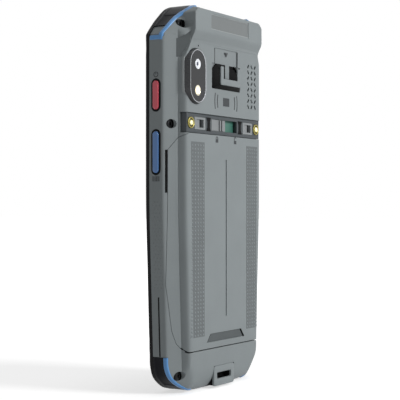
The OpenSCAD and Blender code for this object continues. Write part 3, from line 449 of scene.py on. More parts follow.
def across(line, a, b):
    """Distance beyond a line, which runs with the form on its left."""
    (a0, b0), (run_a, run_b) = line
    return ((a - a0) * run_b - (b - b0) * run_a) / math.hypot(run_a, run_b)


def beyond(path, a, b):
    """Distances beyond each edge of a path that runs round a form with the form on its left."""
    return [across(((a0, b0), (a1 - a0, b1 - b0)), a, b) for (a0, b0), (a1, b1) in zip(path, path[1:])]


def rounded_max(distances, radius):
    """Largest of some distances, with its edges rounded to about a radius."""
    k = 2.4 / radius
    stack = np.stack(np.broadcast_arrays(*distances)) * k
    top = stack.max(axis=0)
    return (top + np.log(np.exp(stack - top).sum(axis=0))) / k


def rounded_min(distances, radius):
    """Smallest of some distances, with its hollows rounded to about a radius."""
    return -rounded_max([-d for d in distances], radius)


def form(x, depth, z):
    """Distance beyond the moulded form, rounded at its edges."""
    shell = bpy.context.scene.terminal_shell
    edge, fillet, crisp = shell.edge / MM, shell.fillet / MM, shell.crisp / MM
    x = np.abs(x)
    taper = LEAN * SOFT_TAPER * np.log1p(np.exp((TAPER_TOP - z) / SOFT_TAPER))
    wall, shoulder, slope = beyond(CROSS, x + taper - HALF_W, depth)
    flat = depth - BODY_T + shell.crown / MM * (x / FLAT_HALF) ** 2
    end = rounded_max([-d for d in beyond(SOFT_END, z, depth)], crisp)
    step = rounded_max([flat, rounded_min([shoulder, slope], fillet)], shell.soft / MM)
    step = np.maximum(step, end)
    outline = [wall, z - BODY_H, -z] + beyond(SOFT_TOP, x - HALF_W, z - BODY_H)
    outline = rounded_max(outline + beyond(SOFT_FOOT, x - FOOT_W / 2, z), crisp)
    back = [outline, step]
    back += beyond(TOP_SLOPE, across(TOP_LINE, x - HALF_W, z - BODY_H), depth)
    back += beyond(FOOT_SLOPE, across(FOOT_LINE, x - FOOT_W / 2, z), depth)
    raised = rounded_max([x - HEAD_HALF] + [-d for d in beyond(HEAD_PROFILE, z, depth)], crisp)
    surface = rounded_min([rounded_max(back, edge), raised], fillet)
    top = z - BODY_H + (depth - TOP_FLAT) * TOP_FALL / (HEAD_T - TOP_FLAT)
    return rounded_max([surface, outline, top, -depth], crisp) + shell.seam / MM


def closed_in(low, high, rounds, outside):
    """Bounds halved again and again round the places where outside() turns true."""
    for _ in range(rounds):
        between = (low + high) / 2
        past = outside(between)
        high = np.where(past, between, high)
        low = np.where(past, low, between)
    return low, high


def reach(start_z, angle, tilt):
    """How far the form's surface lies from the spine along rays."""
    def outside(run):
        out = run * np.cos(tilt)
        return form(out * np.cos(angle), SPINE_DEPTH + run * np.sin(tilt),
                    start_z + out * np.sin(angle)) > 0

    near = np.zeros(np.broadcast(start_z, angle, tilt).shape)
    near, far = closed_in(near, near + 120.0, 24, outside)
    return (near + far) / 2


def spread(points, count, turn_weight):
    """Places along a line of points that are closer where it turns."""
    steps = np.diff(points, axis=0)
    lengths = np.linalg.norm(steps, axis=1)
    unit = steps / np.maximum(lengths, 1e-9)[:, None]
    turns = np.arccos(np.clip((unit[1:] * unit[:-1]).sum(axis=1), -1, 1))
    weight = lengths + turn_weight * (np.append(turns, 0) + np.append(0, turns)) / 2
    total = np.append(0, np.cumsum(weight))
    return np.interp(np.linspace(0, total[-1], count), total, np.arange(len(points)))


def stations(fan_points=130, side_step=3.0):
    """Where the profiles of the form start on its spine and which way they look."""
    dense = np.linspace(0, math.pi, 721)
    low, high = SPINE

    def fan(z, start):
        run = reach(z, start + dense, 0.0)
        rim = np.column_stack([run * np.cos(start + dense), run * np.sin(start + dense)])
        places = spread(rim, fan_points, 9.0)
        return [(z, start + math.pi * place / (len(dense) - 1)) for place in places]

    levels = np.linspace(low, high, int((high - low) / side_step))
    return ([(z, 0.0) for z in levels[:-1]] + fan(high, 0.0)
            + [(z, math.pi) for z in levels[-2:0:-1]] + fan(low, math.pi))


def moulded_form(profile_points=150):
    """Closed mesh of the whole moulded form: profiles fanned round an upright spine."""
    places = np.array(stations())
    tilts = np.radians(np.linspace(-90, 90, 401))
    z, angle = places[:, :1], places[:, 1:]
    run = reach(z, angle, tilts[None, :])
    rows = []
    for start, turn, reached in zip(places[:, 0], places[:, 1], run):
        line = np.column_stack([reached * np.cos(tilts), SPINE_DEPTH + reached * np.sin(tilts)])
        at = spread(line, profile_points, 7.0)
        out = np.interp(at, np.arange(len(tilts)), line[:, 0])
        depth = np.interp(at, np.arange(len(tilts)), line[:, 1])
        rows.append(np.column_stack([out * math.cos(turn), FRONT_Y - depth,
                                     start + out * math.sin(turn)]))
    faces = []
    for i in range(len(rows)):
        here, there = i * profile_points, (i + 1) % len(rows) * profile_points
        for k in range(profile_points - 1):
            faces.append((here + k, here + k + 1, there + k + 1, there + k))
    return made(np.concatenate(rows), faces, 2 * WELD)


def moulded(node):
    """A node of the frame trimmed to the moulded form."""
    form_mesh = bpy.data.meshes.get("moulded_form")
    if not form_mesh:
        form_mesh = moulded_form()
        form_mesh.name = "moulded_form"
        form_mesh.use_fake_user = True
    return smoothed(joined(merged(node), form_mesh.copy(), "INTERSECT"), 35)


# ---------------------------------------------------------------- lofted pieces

def stadium(w, h, count=13):
    """Ring of a slot shape with round ends, upright or lying, by how far it is grown."""
    def ring(grow):
        r = min(w, h) / 2 + grow
        run = abs(h - w) / 2
        end = [(r * math.cos(math.pi * i / (count - 1)), run + r * math.sin(math.pi * i / (count - 1)))
               for i in range(count)]
        points = end + [(-u, -v) for u, v in end]
        return points if h >= w else [(v, -u) for u, v in points]
    return ring


def rounded(w, h, r, count=5):
    """Ring of a rectangle with round corners, by how far it is grown."""
    def ring(grow):
        corner = max(r + grow, 0.03)
        points = []
        for k, (su, sv) in enumerate(((1, 1), (-1, 1), (-1, -1), (1, -1))):
            for i in range(count):
                turn = math.pi / 2 * (k + i / (count - 1))
                points.append((su * (w / 2 + grow - corner) + corner * math.cos(turn),
                               sv * (h / 2 + grow - corner) + corner * math.sin(turn)))
        return points
    return ring


def disc(r, count=28, lobes=0, lobe=0.0):
    """Ring of a circle, or of a circle with lobes."""
    def ring(grow):
        points = []
        for i in range(count):
            turn = 2 * math.pi * i / count
            reach_out = r + grow + lobe * math.cos(lobes * turn)
            points.append((reach_out * math.cos(turn), reach_out * math.sin(turn)))
        return points
    return ring


def on_back(cx, cz):
    """Place for rings on the back: out is the depth."""
    return lambda u, v, out: (cx + u, FRONT_Y - out, cz + v)


def on_side(side, depth, cz):
    """Place for rings on a side wall: out is the distance from the centre plane."""
    return lambda u, v, out: (side * out, FRONT_Y - depth - u, cz + v)


def made(points, faces, weld=WELD):
    """Closed mesh from points in millimetres, with its faces turned outwards."""
    def clean(shape):
        bmesh.ops.remove_doubles(shape, verts=shape.verts, dist=weld * MM)
        bmesh.ops.dissolve_degenerate(shape, edges=shape.edges, dist=0.5 * WELD * MM)
        bmesh.ops.recalc_face_normals(shape, faces=shape.faces)

    mesh = bpy.data.meshes.new("shape")
    mesh.from_pydata((np.array(points) * MM).tolist(), [], faces)
    return edited(mesh, clean)


def bridged(rows, closed=False):
    """Closed mesh through rows of as many points each; its ends are capped unless it closes."""
    count = len(rows[0])
    faces = []
    for i in range(len(rows) if closed else len(rows) - 1):
        here, there = i * count, (i + 1) % len(rows) * count
        for k in range(count):
            n = (k + 1) % count
            faces.append((here + k, here + n, there + n, there + k))
    if not closed:
        faces += [tuple(range(count)), tuple(range((len(rows) - 1) * count, len(rows) * count))]
    return made([point for row in rows for point in row], faces)


def slab(place, outline, *outs):
    """Body between copies of a flat outline that lie some distances out."""
    return bridged([[place(u, v, out) for u, v in outline] for out in outs])


def lofted(place, ring, profile, closed=False):
    """Body through rings; the profile gives how far each is grown and how far out it lies."""
    rows = [[place(u, v, out) for u, v in ring(grow)] for grow, out in profile]
    return smoothed(bridged(rows, closed), 35)


def framed(place, outer, inner, low, high, edge=0.12):
    """Frame between two rings of as many points, with its outer and inner edges rounded."""
    steps = [(outer, 0, low), (outer, 0, high - edge), (outer, -edge * 0.3, high - edge * 0.3),
             (outer, -edge, high), (inner, edge, high), (inner, edge * 0.3, high - edge * 0.3),
             (inner, 0, high - edge), (inner, 0, low)]
    rows = [[place(u, v, out) for u, v in ring(grow)] for ring, grow, out in steps]
    return smoothed(bridged(rows, True))


def above(base, steps):
    """Profile steps whose places are given from a base."""
    return [(grow, base + rise) for grow, rise in steps]


def shifted(ring, du, dv):
    """A ring moved in its plane."""
    return lambda grow: [(u + du, v + dv) for u, v in ring(grow)]


def combined(meshes):
    """One mesh from several."""
    shape = bmesh.new()
    for mesh in meshes:
        shape.from_mesh(mesh)
        bpy.data.meshes.remove(mesh)
    mesh = bpy.data.meshes.new("shape")
    shape.to_mesh(mesh)
    shape.free()
    return mesh


def mirrored(mesh):
    """A mesh and its mirror image on the other side."""
    def double(shape):
        bmesh.ops.mirror(shape, geom=shape.verts[:] + shape.edges[:] + shape.faces[:], axis="X",
                         merge_dist=-1)
        bmesh.ops.recalc_face_normals(shape, faces=shape.faces)

    return edited(mesh, double)


# Distances out between which the surface is looked for: depths on the back, half widths on a wall
BACK = (8.0, 20.0)
WALL = (30.0, 45.0)


def surface_out(place, points, bounds=BACK):
    """How far out the moulded form reaches at each (u, v) of a place."""
    u, v = np.array(points, dtype=float).T

    def outside(out):
        x, y, z = place(u, v, out)
        return form(x, FRONT_Y - y, z) > 0

    return closed_in(np.full(len(u), bounds[0]), np.full(len(u), bounds[1]), 30, outside)[0]


def inked(place, outlines, bounds=BACK, thick=0.05):
    """Thin flat shapes printed on the moulded form; each outline is a list of (u, v)."""
    parts = []
    for outline in outlines:
        reached = surface_out(place, outline, bounds)
        rows = [[place(u, v, out + rise) for (u, v), out in zip(outline, reached)]
                for rise in (-0.1, thick)]
        parts.append(bridged(rows))
    return combined(parts)


def strokes(points, width):
    """Quads along a line of (u, v) points, joined as one outline."""
    left, right = [], []
    for i, (u, v) in enumerate(points):
        before, after = points[max(i - 1, 0)], points[min(i + 1, len(points) - 1)]
        run = (after[0] - before[0], after[1] - before[1])
        size = math.hypot(*run)
        side = (-run[1] / size * width / 2, run[0] / size * width / 2)
        left.append((u + side[0], v + side[1]))
        right.append((u - side[0], v - side[1]))
    return left + right[::-1]


def arc(cx, cz, r, start, end, count=15):
    """Points of an arc, with angles in degrees."""
    turns = [math.radians(start + (end - start) * i / (count - 1)) for i in range(count)]
    return [(cx + r * math.cos(t), cz + r * math.sin(t)) for t in turns]


# ---------------------------------------------------------------- repeated pieces

def tree_of(name, inputs):
    """Geometry node tree with named inputs and a mesh output."""
    tree = bpy.data.node_groups.new(name, "GeometryNodeTree")
    tree.interface.new_socket("Geometry", in_out="INPUT", socket_type="NodeSocketGeometry")
    for label, kind in inputs:
        tree.interface.new_socket(label, in_out="INPUT", socket_type=kind)
    tree.interface.new_socket("Geometry", in_out="OUTPUT", socket_type="NodeSocketGeometry")
    return tree, tree.nodes.new("NodeGroupInput").outputs


def on_points(tree, given, instance, inputs=None):
    """Tree that sends out a shape on every point, turned to the point's own way and painted."""
    way = add(tree, "GeometryNodeInputNamedAttribute", {"Name": "way"}, data_type="FLOAT_VECTOR")
    turn = add(tree, "FunctionNodeAlignRotationToVector", {"Vector": way.outputs[0]}, axis="Z")
    spots = add(tree, "GeometryNodeMeshToPoints", {"Mesh": given["Geometry"]})
    many = add(tree, "GeometryNodeInstanceOnPoints", {
        "Points": spots.outputs[0], "Instance": instance, "Rotation": turn.outputs[0], **(inputs or {})})
    real = add(tree, "GeometryNodeRealizeInstances", {"Geometry": many.outputs[0]})
    coated = add(tree, "GeometryNodeSetMaterial", {
        "Geometry": real.outputs[0], "Material": given["Material"]})
    out = tree.nodes.new("NodeGroupOutput")
    tree.links.new(coated.outputs[0], out.inputs["Geometry"])
    return tree


def studs_tree():
    """Low studs on points, each turned to the point's own way."""
    tree, given = tree_of("studs", [("Width", "NodeSocketFloat"), ("Height", "NodeSocketFloat"),
                                    ("Top", "NodeSocketFloat"), ("Sides", "NodeSocketInt"),
                                    ("Material", "NodeSocketMaterial")])

    def times(value, factor):
        return add(tree, "ShaderNodeMath", {0: value, 1: factor}, operation="MULTIPLY").outputs[0]

    half = times(given["Width"], 0.5)
    stud = add(tree, "GeometryNodeMeshCone", {
        "Vertices": given["Sides"], "Radius Bottom": half, "Radius Top": times(half, given["Top"]),
        "Depth": times(given["Height"], 2.0)})
    offset = add(tree, "ShaderNodeCombineXYZ", {"Z": times(given["Height"], -1.0)})
    low = add(tree, "GeometryNodeTransform", {
        "Geometry": stud.outputs["Mesh"], "Translation": offset.outputs[0]})
    return on_points(tree, given, low.outputs[0])


def copies_tree():
    """Copies of a master shape on points, each facing the point's way."""
    tree, given = tree_of("copies", [("Master", "NodeSocketObject"), ("Size", "NodeSocketFloat"),
                                     ("Material", "NodeSocketMaterial")])
    master = add(tree, "GeometryNodeObjectInfo", {"Object": given["Master"]})
    return on_points(tree, given, master.outputs["Geometry"], {"Scale": given["Size"]})


def spots_of(name, points, ways):
    """Working object whose points, in millimetres, each have the way they face."""
    mesh = bpy.data.meshes.new(name)
    mesh.from_pydata((np.array(points) * MM).tolist(), [], [])
    way = mesh.attributes.new("way", "FLOAT_VECTOR", "POINT")
    way.data.foreach_set("vector", np.array(ways, dtype=float).ravel())
    return loose(name, mesh)


def repeated(name, tree, points, ways, finish, **inputs):
    """Plain mesh of a tree's shapes on points."""
    thing = spots_of(name, points, ways)
    modifier = thing.modifiers.new("repeat", "NODES")
    modifier.node_group = tree
    inputs["Material"] = finish_of(finish)
    for item in tree.interface.items_tree:
        if item.in_out == "INPUT" and item.name in inputs:
            modifier[item.identifier] = inputs[item.name]
    mesh = taken(thing)
    if not mesh.polygons:
        raise RuntimeError(f"{name} came out empty")
    return smoothed(mesh)


# ---------------------------------------------------------------- places on the terminal

CAMERA = box_mm("camera_bezel")
CAMERA_X = middle(CAMERA, 0)
CAMERA_Z = middle(CAMERA, 2)
CAMERA_W = CAMERA[1].x - CAMERA[0].x
CAMERA_H = CAMERA[1].z - CAMERA[0].z
CAMERA_TOP = FRONT_Y - CAMERA[0].y
LENS_Z = middle(box_mm("camera_module"), 2)
FLASH_Z = middle(box_mm("flash_led"), 2)
LENS_R = 2.2
FLASH_R = 2.3
HOOD_Z = middle(box_mm("strap_anchor_base"), 2)
HOOD_FLOOR = 16.95
LOOP = box_mm("strap_loop")
LOOP_BACK = 11.1
# The loop's slot: its width, its height and how far its lower edge lies above the loop's own
LOOP_SLOT = (12.1, 2.75, 3.15)
STRIP = box_mm("contact_strip")
STRIP_Z = middle(STRIP, 2)
STRIP_FACE = FRONT_Y - STRIP[0].y
STRIP_WEB = 14.2
CONTACT_X = 28.4
HOOK_X = 20.8
COVER_TOP = COVER[1].z
COVER_LOW = COVER[0].z
SHELLS = [
    # node, piece, finish, body, slot
    ("rear_housing", "housing_shell", "housing", "housing", "housing_grey"),
    ("battery_cover", "cover_shell", "housing", "cover", "housing_grey"),
    ("front_bezel", "bezel_ring", "trim", "housing", "bezel_black"),
]
KEY_DEPTH = 5.4
KEY_W = 3.4
KEYS = [
    # node, side, finish, body, slot
    ("power_key", -1, "power", "power_button", "key_red"),
    ("scan_key_right", -1, "scan", "scan_button_right", "key_blue"),
    ("scan_key_left", 1, "scan", "scan_button_left", "key_blue"),
    ("volume_up_key", 1, "dark_key", "volume_up_button", "key_dark"),
    ("volume_down_key", 1, "dark_key", "volume_down_button", "key_dark"),
]
# The trims run from this far along the ends, by x, to this far from the ends along the walls
TOP_TRIM = (22.6, 17.3)
FOOT_TRIM = (22.3, 16.1)
# A height between the top's trims and the foot's, and one above which the top shows its rubber
MID_HEIGHT = 100.0
TOP_RUBBER = 158.6
# Height of the coloured band at the lower end of the top's trim
BAND_H = 2.1
# Depth of the ribbon's back edge where it climbs the head, by x
HEAD_EDGE = ([TOP_TRIM[0], 24.4, 26.5, HEAD_HALF, 32.5], [17.4, 16.6, 15.2, 13.4, 10.4])
# Screws from the top down: x and depth of their heads, which are SCREW_R wide to a side
SCREWS = [(30.8, 12.6), (35.8, 10.6), (31.0, 11.6)]
SCREW_R = 1.8
# Nail slot: its inner and outer x, its lower and upper end
NAIL_SLOT = (37.3, 38.2, 86.8, 105.0)
# Thumb recess of the cover, and the hollow beside the head, by (x, z)
RECESS = [(-16.3, 21.2), (16.3, 21.2), (13.4, 24.8), (-13.4, 24.8)]
HOLLOW = [(33.8, 145.0), (33.8, 152.8), (29.4, 156.2), (29.4, 151.8), (32.7, 145.0)]
# The hollow's floor slopes: its x and its depth add up to this
HOLLOW_SUM = 46.1
# Beyond this x the cover's lower edge climbs
LIP_TURN = 29.5
LABEL_Z = HEAD_FOOT + 9.6
# Grip dots of a side wall: the first one's depth and height, then their columns and rows, each by
# count and pitch
GRIP_START = (3.7, 46.0)
GRIP_COLUMNS = (3, 1.7)
GRIP_ROWS = (24, 1.6)
# Knurl band: its first column and its width by x, and its lower and upper end
KNURL_X = (19.4, 10.0)
KNURL_Z = (COVER_LOW + 6.6, COVER_TOP - 3.6)
# Camera: its place and the way it looks; half the floor's side in metres
EYE = (-449, -274, 80.9)
LOOK = (0.848, 0.530, math.tan(math.radians(0.32)))
FLOOR_HALF = 6.0


def share(value):
    """A value kept between nought and one."""
    return min(max(value, 0.0), 1.0)


# ---------------------------------------------------------------- operators

class TERMINAL_OT_housing(bpy.types.Operator):
    """Make the rear housing, the battery cover and the front bezel"""

    bl_idname = "terminal.housing"
    bl_label = "Shells"

    def execute(self, context):
        for node, name, finish, body, slot in SHELLS:
            piece(name, moulded(node), finish, slot, node, body=body)
        return {"FINISHED"}


class TERMINAL_OT_trims(bpy.types.Operator):
    """Make the corner bumpers and the coloured ribbons along their edges"""

    bl_idname = "terminal.trims"
    bl_label = "Bumpers"

    def execute(self, context):
        for place in ("top", "foot"):
            path, outward = self.path(place == "top")
            dark = (path[:, 1] > TOP_RUBBER) | (path[:, 1] < MID_HEIGHT)
            pad = self.swept(path[dark], outward[dark], self.pad_rows)
            piece(f"{place}_bumper_pads", mirrored(pad), "bumper", "bumper_black", f"{place}_bumpers")
            parts = [mirrored(self.swept(path, outward, self.ribbon_rows))]
            if place == "top":
                first = path[:, 1] < path[0, 1] + BAND_H
                parts.append(mirrored(self.swept(path[first], outward[first], self.band_rows)))
            piece(f"{place}_ribbons", parts, "accent", "accent_blue", f"{place}_accents")
        return {"FINISHED"}

    def path(self, top, count=84):
        """Points along the wall's outline at a corner, with the way outwards."""
        start = SPINE[1] if top else SPINE[0]
        angles = np.linspace(0.2, 1.2, 1600) * (1 if top else -1)
        run = reach(start, angles, 0.0)
        points = np.column_stack([run * np.cos(angles), start + run * np.sin(angles)])
        inner, far = TOP_TRIM if top else FOOT_TRIM
        from_end = BODY_H - points[:, 1] if top else points[:, 1]
        points = points[(from_end < far) & (points[:, 0] > inner)]
        lengths = np.append(0, np.cumsum(np.linalg.norm(np.diff(points, axis=0), axis=1)))
        even = np.linspace(0, lengths[-1], count)
        points = np.column_stack([np.interp(even, lengths, points[:, k]) for k in (0, 1)])
        along = np.gradient(points, axis=0)
        along /= np.linalg.norm(along, axis=1)[:, None]
        outward = np.column_stack([along[:, 1], -along[:, 0]])
        return points, outward if top else -outward

    def edge_depth(self, path, outward):
        """Depth of the ribbon's back edge along the outline."""
        x, z = (path - 0.55 * outward).T
        start = np.full(len(x), 5.0)
        back = closed_in(start, start + 16.0, 30, lambda depth: form(x, depth, z) > 0)[0]
        near_head = (path[:, 1] > MID_HEIGHT) & (path[:, 0] < HEAD_EDGE[0][-1])
        return np.where(near_head, np.minimum(back, np.interp(path[:, 0], *HEAD_EDGE)), back)

    def swept(self, path, outward, profile):
        """Body along the outline; its profile gives rows of (distance outwards, depth)."""
        points = []
        for (x, z), (nx, nz), row in zip(path, outward, profile(path, outward)):
            points.append([(x + out * nx, FRONT_Y - depth, z + out * nz) for out, depth in row])
        return smoothed(bridged(points), 40)

    def ribbon_rows(self, path, outward):
        """Rounded ribbon over the edge between the wall and the back."""
        back = self.edge_depth(path, outward)
        back = np.convolve(np.pad(back, 8, mode="edge"), np.ones(17) / 17, "valid")
        rows = []
        for (x, z), end in zip(path, back):
            wide = 1.9 + 1.6 * share((32.0 - x) / 5) * (z > MID_HEIGHT)
            high = 0.16 - 0.1 * share((31.0 - x) / 4)
            end -= 0.5 * share((159.0 - z) / 4) * (z > MID_HEIGHT)
            rows.append([(-0.7, end - wide), (high - 0.16, end - wide + 0.05), (high, end - wide + 0.25),
                         (high + 0.02, end - 0.9), (high - 0.05, end - 0.5), (high - 0.25, end - 0.1),
                         (high - 0.46, end + 0.1), (-0.7, end + 0.15)])
        return rows

    def pad_rows(self, path, outward):
        """Rubber pad: a raised lip by the front rim and a hollow behind it."""
        back = self.edge_depth(path, outward) - 1.6
        rows = []
        for i, (x, end) in enumerate(zip(path[:, 0], back)):
            rise = min(i / 14, (len(back) - 1 - i) / 10, 1.0)
            floor = 0.04 - 0.2 * rise if x > HEAD_HALF + 0.6 else 0.06
            rows.append([(-0.62, 2.1), (0.02, 2.1), (0.12, 2.25), (0.12, 3.3), (0.04, 3.55),
                         (floor, 3.9), (floor, end - 0.25), (floor + 0.05, end), (-0.62, end)])
        return rows

    def band_rows(self, path, outward):
        """Coloured band across the wall at the bumper's end."""
        back = self.edge_depth(path, outward) - 1.5
        rows = []
        for i, end in enumerate(back):
            high = 0.12 if 0 < i < len(back) - 1 else -0.1
            rows.append([(-0.6, 2.2), (high - 0.1, 2.2), (high, 2.35), (high, 4.0),
                         (high, end - 0.2), (high, end), (-0.6, end)])
        return rows


class TERMINAL_OT_camera(bpy.types.Operator):
    """Make the camera island with its rim, glass, lens and flash"""

    bl_idname = "terminal.camera"
    bl_label = "Camera"

    def execute(self, context):
        place = on_back(CAMERA_X, CAMERA_Z)
        ring = stadium(CAMERA_W, CAMERA_H, 25)
        top = CAMERA_TOP - 0.45
        island = [(0.5, 14.8), (0.5, 15.9), (0.45, 16.5), (0.34, 17.05), (0.15, 17.5)]
        island += above(top, [(0.02, -0.4), (-0.12, -0.1), (-0.28, 0), (-0.5, -0.02), (-0.58, -0.12)])
        island += [(-0.6, 15.8), (0.2, 14.8)]
        piece("camera_island", lofted(place, ring, island, True), "island", "camera_black",
              "camera_bezel")
        rim = above(top, [(-0.3, -0.1), (-0.36, 0.02), (-0.48, 0.05), (-0.62, 0), (-0.68, -0.12),
                          (-0.68, -0.35), (-0.3, -0.35)])
        piece("camera_rim", lofted(place, ring, rim, True), "rim", "camera_black")
        step = [(0.95, 14.6), (0.95, 15.5), (0.85, 15.7), (0.7, 15.75), (0.45, 15.6), (0.45, 14.6)]
        # Paler grey step: a painted highlight along its thin edge
        piece("camera_step", lofted(place, ring, step, True), "highlight_grey", "housing_grey")
        pane = lofted(place, ring, above(top, [(-0.65, -0.75), (-0.65, -0.3), (-0.72, -0.2)]))
        for z, radius in ((LENS_Z, LENS_R), (FLASH_Z, FLASH_R)):
            hole = shifted(disc(radius, 40), 0, z - CAMERA_Z)
            pane = joined(pane, lofted(place, hole, above(top, [(0, -2), (0, 1)])), "DIFFERENCE")
        piece("camera_pane", smoothed(pane), "lens_glass", "camera_glass", "camera_glass")
        place = on_back(CAMERA_X, LENS_Z)
        barrel = above(top, [(-0.02, -1.0), (-0.02, -0.22), (-0.15, -0.16), (-0.4, -0.18),
                             (-0.9, -0.3), (-1.35, -0.42), (-1.42, -0.6), (-1.42, -1.0)])
        # Near-white collar round the pupil: painted highlight
        piece("lens_barrel", lofted(place, disc(LENS_R, 40), barrel, True), "barrel", "camera_black")
        front = above(top, [(0, -1.0), (0, -0.62), (-0.2, -0.52), (-0.45, -0.47), (-0.7, -0.45)])
        piece("lens_front", lofted(place, disc(0.8, 36), front), "coated_lens", "camera_glass")
        place = on_back(CAMERA_X, FLASH_Z)
        bowl = above(top, [(-0.02, -1.0), (-0.02, -0.24), (-0.2, -0.22), (-0.75, -0.5), (-0.8, -1.0)])
        piece("flash_reflector", lofted(place, disc(FLASH_R, 36), bowl, True), "reflector",
              "flash_cream")
        lens = above(top, [(0, -1.0), (0, -0.5), (-0.3, -0.42), (-0.45, -0.5), (-0.6, -0.42),
                           (-0.8, -0.5), (-1.0, -0.4), (-1.35, -0.36)])
        # Glowing flash lens: painted glow
        piece("flash_lens", lofted(place, disc(1.6, 36), lens), "flash_glow", "flash_cream", "flash_led")
        return {"FINISHED"}


class TERMINAL_OT_anchors(bpy.types.Operator):
    """Make the hood and the loop that hold a hand strap"""

    bl_idname = "terminal.anchors"
    bl_label = "Strap anchors"

    def execute(self, context):
        self.hood()
        piece("anchor_face", bevelled("strap_anchor_cap", 0.14), "housing", "housing_grey",
              "strap_anchor_cap")
        self.cheeks()
        floor = [(0, 16.6), (0, 17.0), (-0.08, 17.06)]
        piece("anchor_floor", lofted(on_back(0.8, HOOD_Z + 2.6), rounded(3.5, 6.2, 0.3), floor),
              "housing", "housing_grey")
        middle_z = middle(LOOP, 2)
        place = on_back(0, middle_z)
        width, height = LOOP[1].x - LOOP[0].x, LOOP[1].z - LOOP[0].z
        face = FRONT_Y - LOOP[0].y
        slot_w, slot_h, lift = LOOP_SLOT
        up = LOOP[0].z + lift + slot_h / 2 - middle_z
        mesh = framed(place, rounded(width, height, 1.3), shifted(rounded(slot_w, slot_h, 0.5), 0, up),
                      face - 0.9, face, 0.25)
        piece("loop_face", mesh, "housing", "housing_grey")
        # Black core of the loop: its black side walls also stand in for part of their shadow
        mesh = framed(place, rounded(width - 0.5, height - 0.4, 1.1),
                      shifted(rounded(slot_w + 0.2, slot_h + 0.2, 0.4), 0, up),
                      LOOP_BACK, face - 0.85, 0.1)
        piece("loop_core", mesh, "anchor", "anchor_black", "strap_loop")
        # Black plate at the back of the loop's slot: painted shade
        mesh = lofted(place, rounded(13.6, 4.6, 0.3), [(0, 11.0), (0, 12.2)])
        piece("loop_floor", mesh, "anchor", "anchor_black")
        return {"FINISHED"}

    def hood(self):
        """Drafted hood with cut upper corners and a window that is open towards the head."""
        def ring(half, low, high, cut, soft):
            return [(half, low + soft), (half, high - cut * 0.8), (half - cut, high), (cut - half, high),
                    (-half, high - cut * 0.8), (-half, low + soft), (-half + soft * 0.3, low + soft * 0.3),
                    (-half + soft, low), (half - soft, low), (half - soft * 0.3, low + soft * 0.3)]
        steps = [(12.2, -5.6, 5.6, 3.6, 1.2, 16.5), (12.2, -5.6, 5.6, 3.6, 1.2, 17.05),
                 (11.9, -5.45, 5.2, 3.4, 1.1, 17.4), (9.1, -4.3, 3.9, 1.6, 0.8, 18.6),
                 (8.75, -4.05, 3.7, 1.4, 0.7, 18.82), (8.4, -3.9, 3.55, 1.3, 0.6, 18.86)]
        place = on_back(0, HOOD_Z)
        rows = [[place(u, v, out) for u, v in ring(*sizes)] for *sizes, out in steps]
        block = bridged(rows)
        window = lofted(place, shifted(rounded(12.8, 10.0, 0.4), 0, 3.4), [(0, HOOD_FLOOR), (0, 21)])
        mesh = smoothed(joined(block, window, "DIFFERENCE"), 28)
        # The hood's black also stands in for part of the shadow on its walls
        piece("anchor_hood", mesh, "anchor", "anchor_black", "strap_anchor_base")

    def cheeks(self):
        """Sloping cheeks inside the hood's window, black as painted shade."""
        low, high = HOOD_Z - 1.6, HOOD_Z + 4.1
        rows = []
        for z, top in ((low, 19.1), (high - 2.2, 19.1), (high, 17.6)):
            rows.append([(x, FRONT_Y - depth, z) for x, depth in (
                (2.7, HOOD_FLOOR), (6.5, HOOD_FLOOR), (6.5, top), (5.9, top))])
        piece("anchor_cheeks", mirrored(smoothed(bridged(rows))), "anchor", "anchor_black")


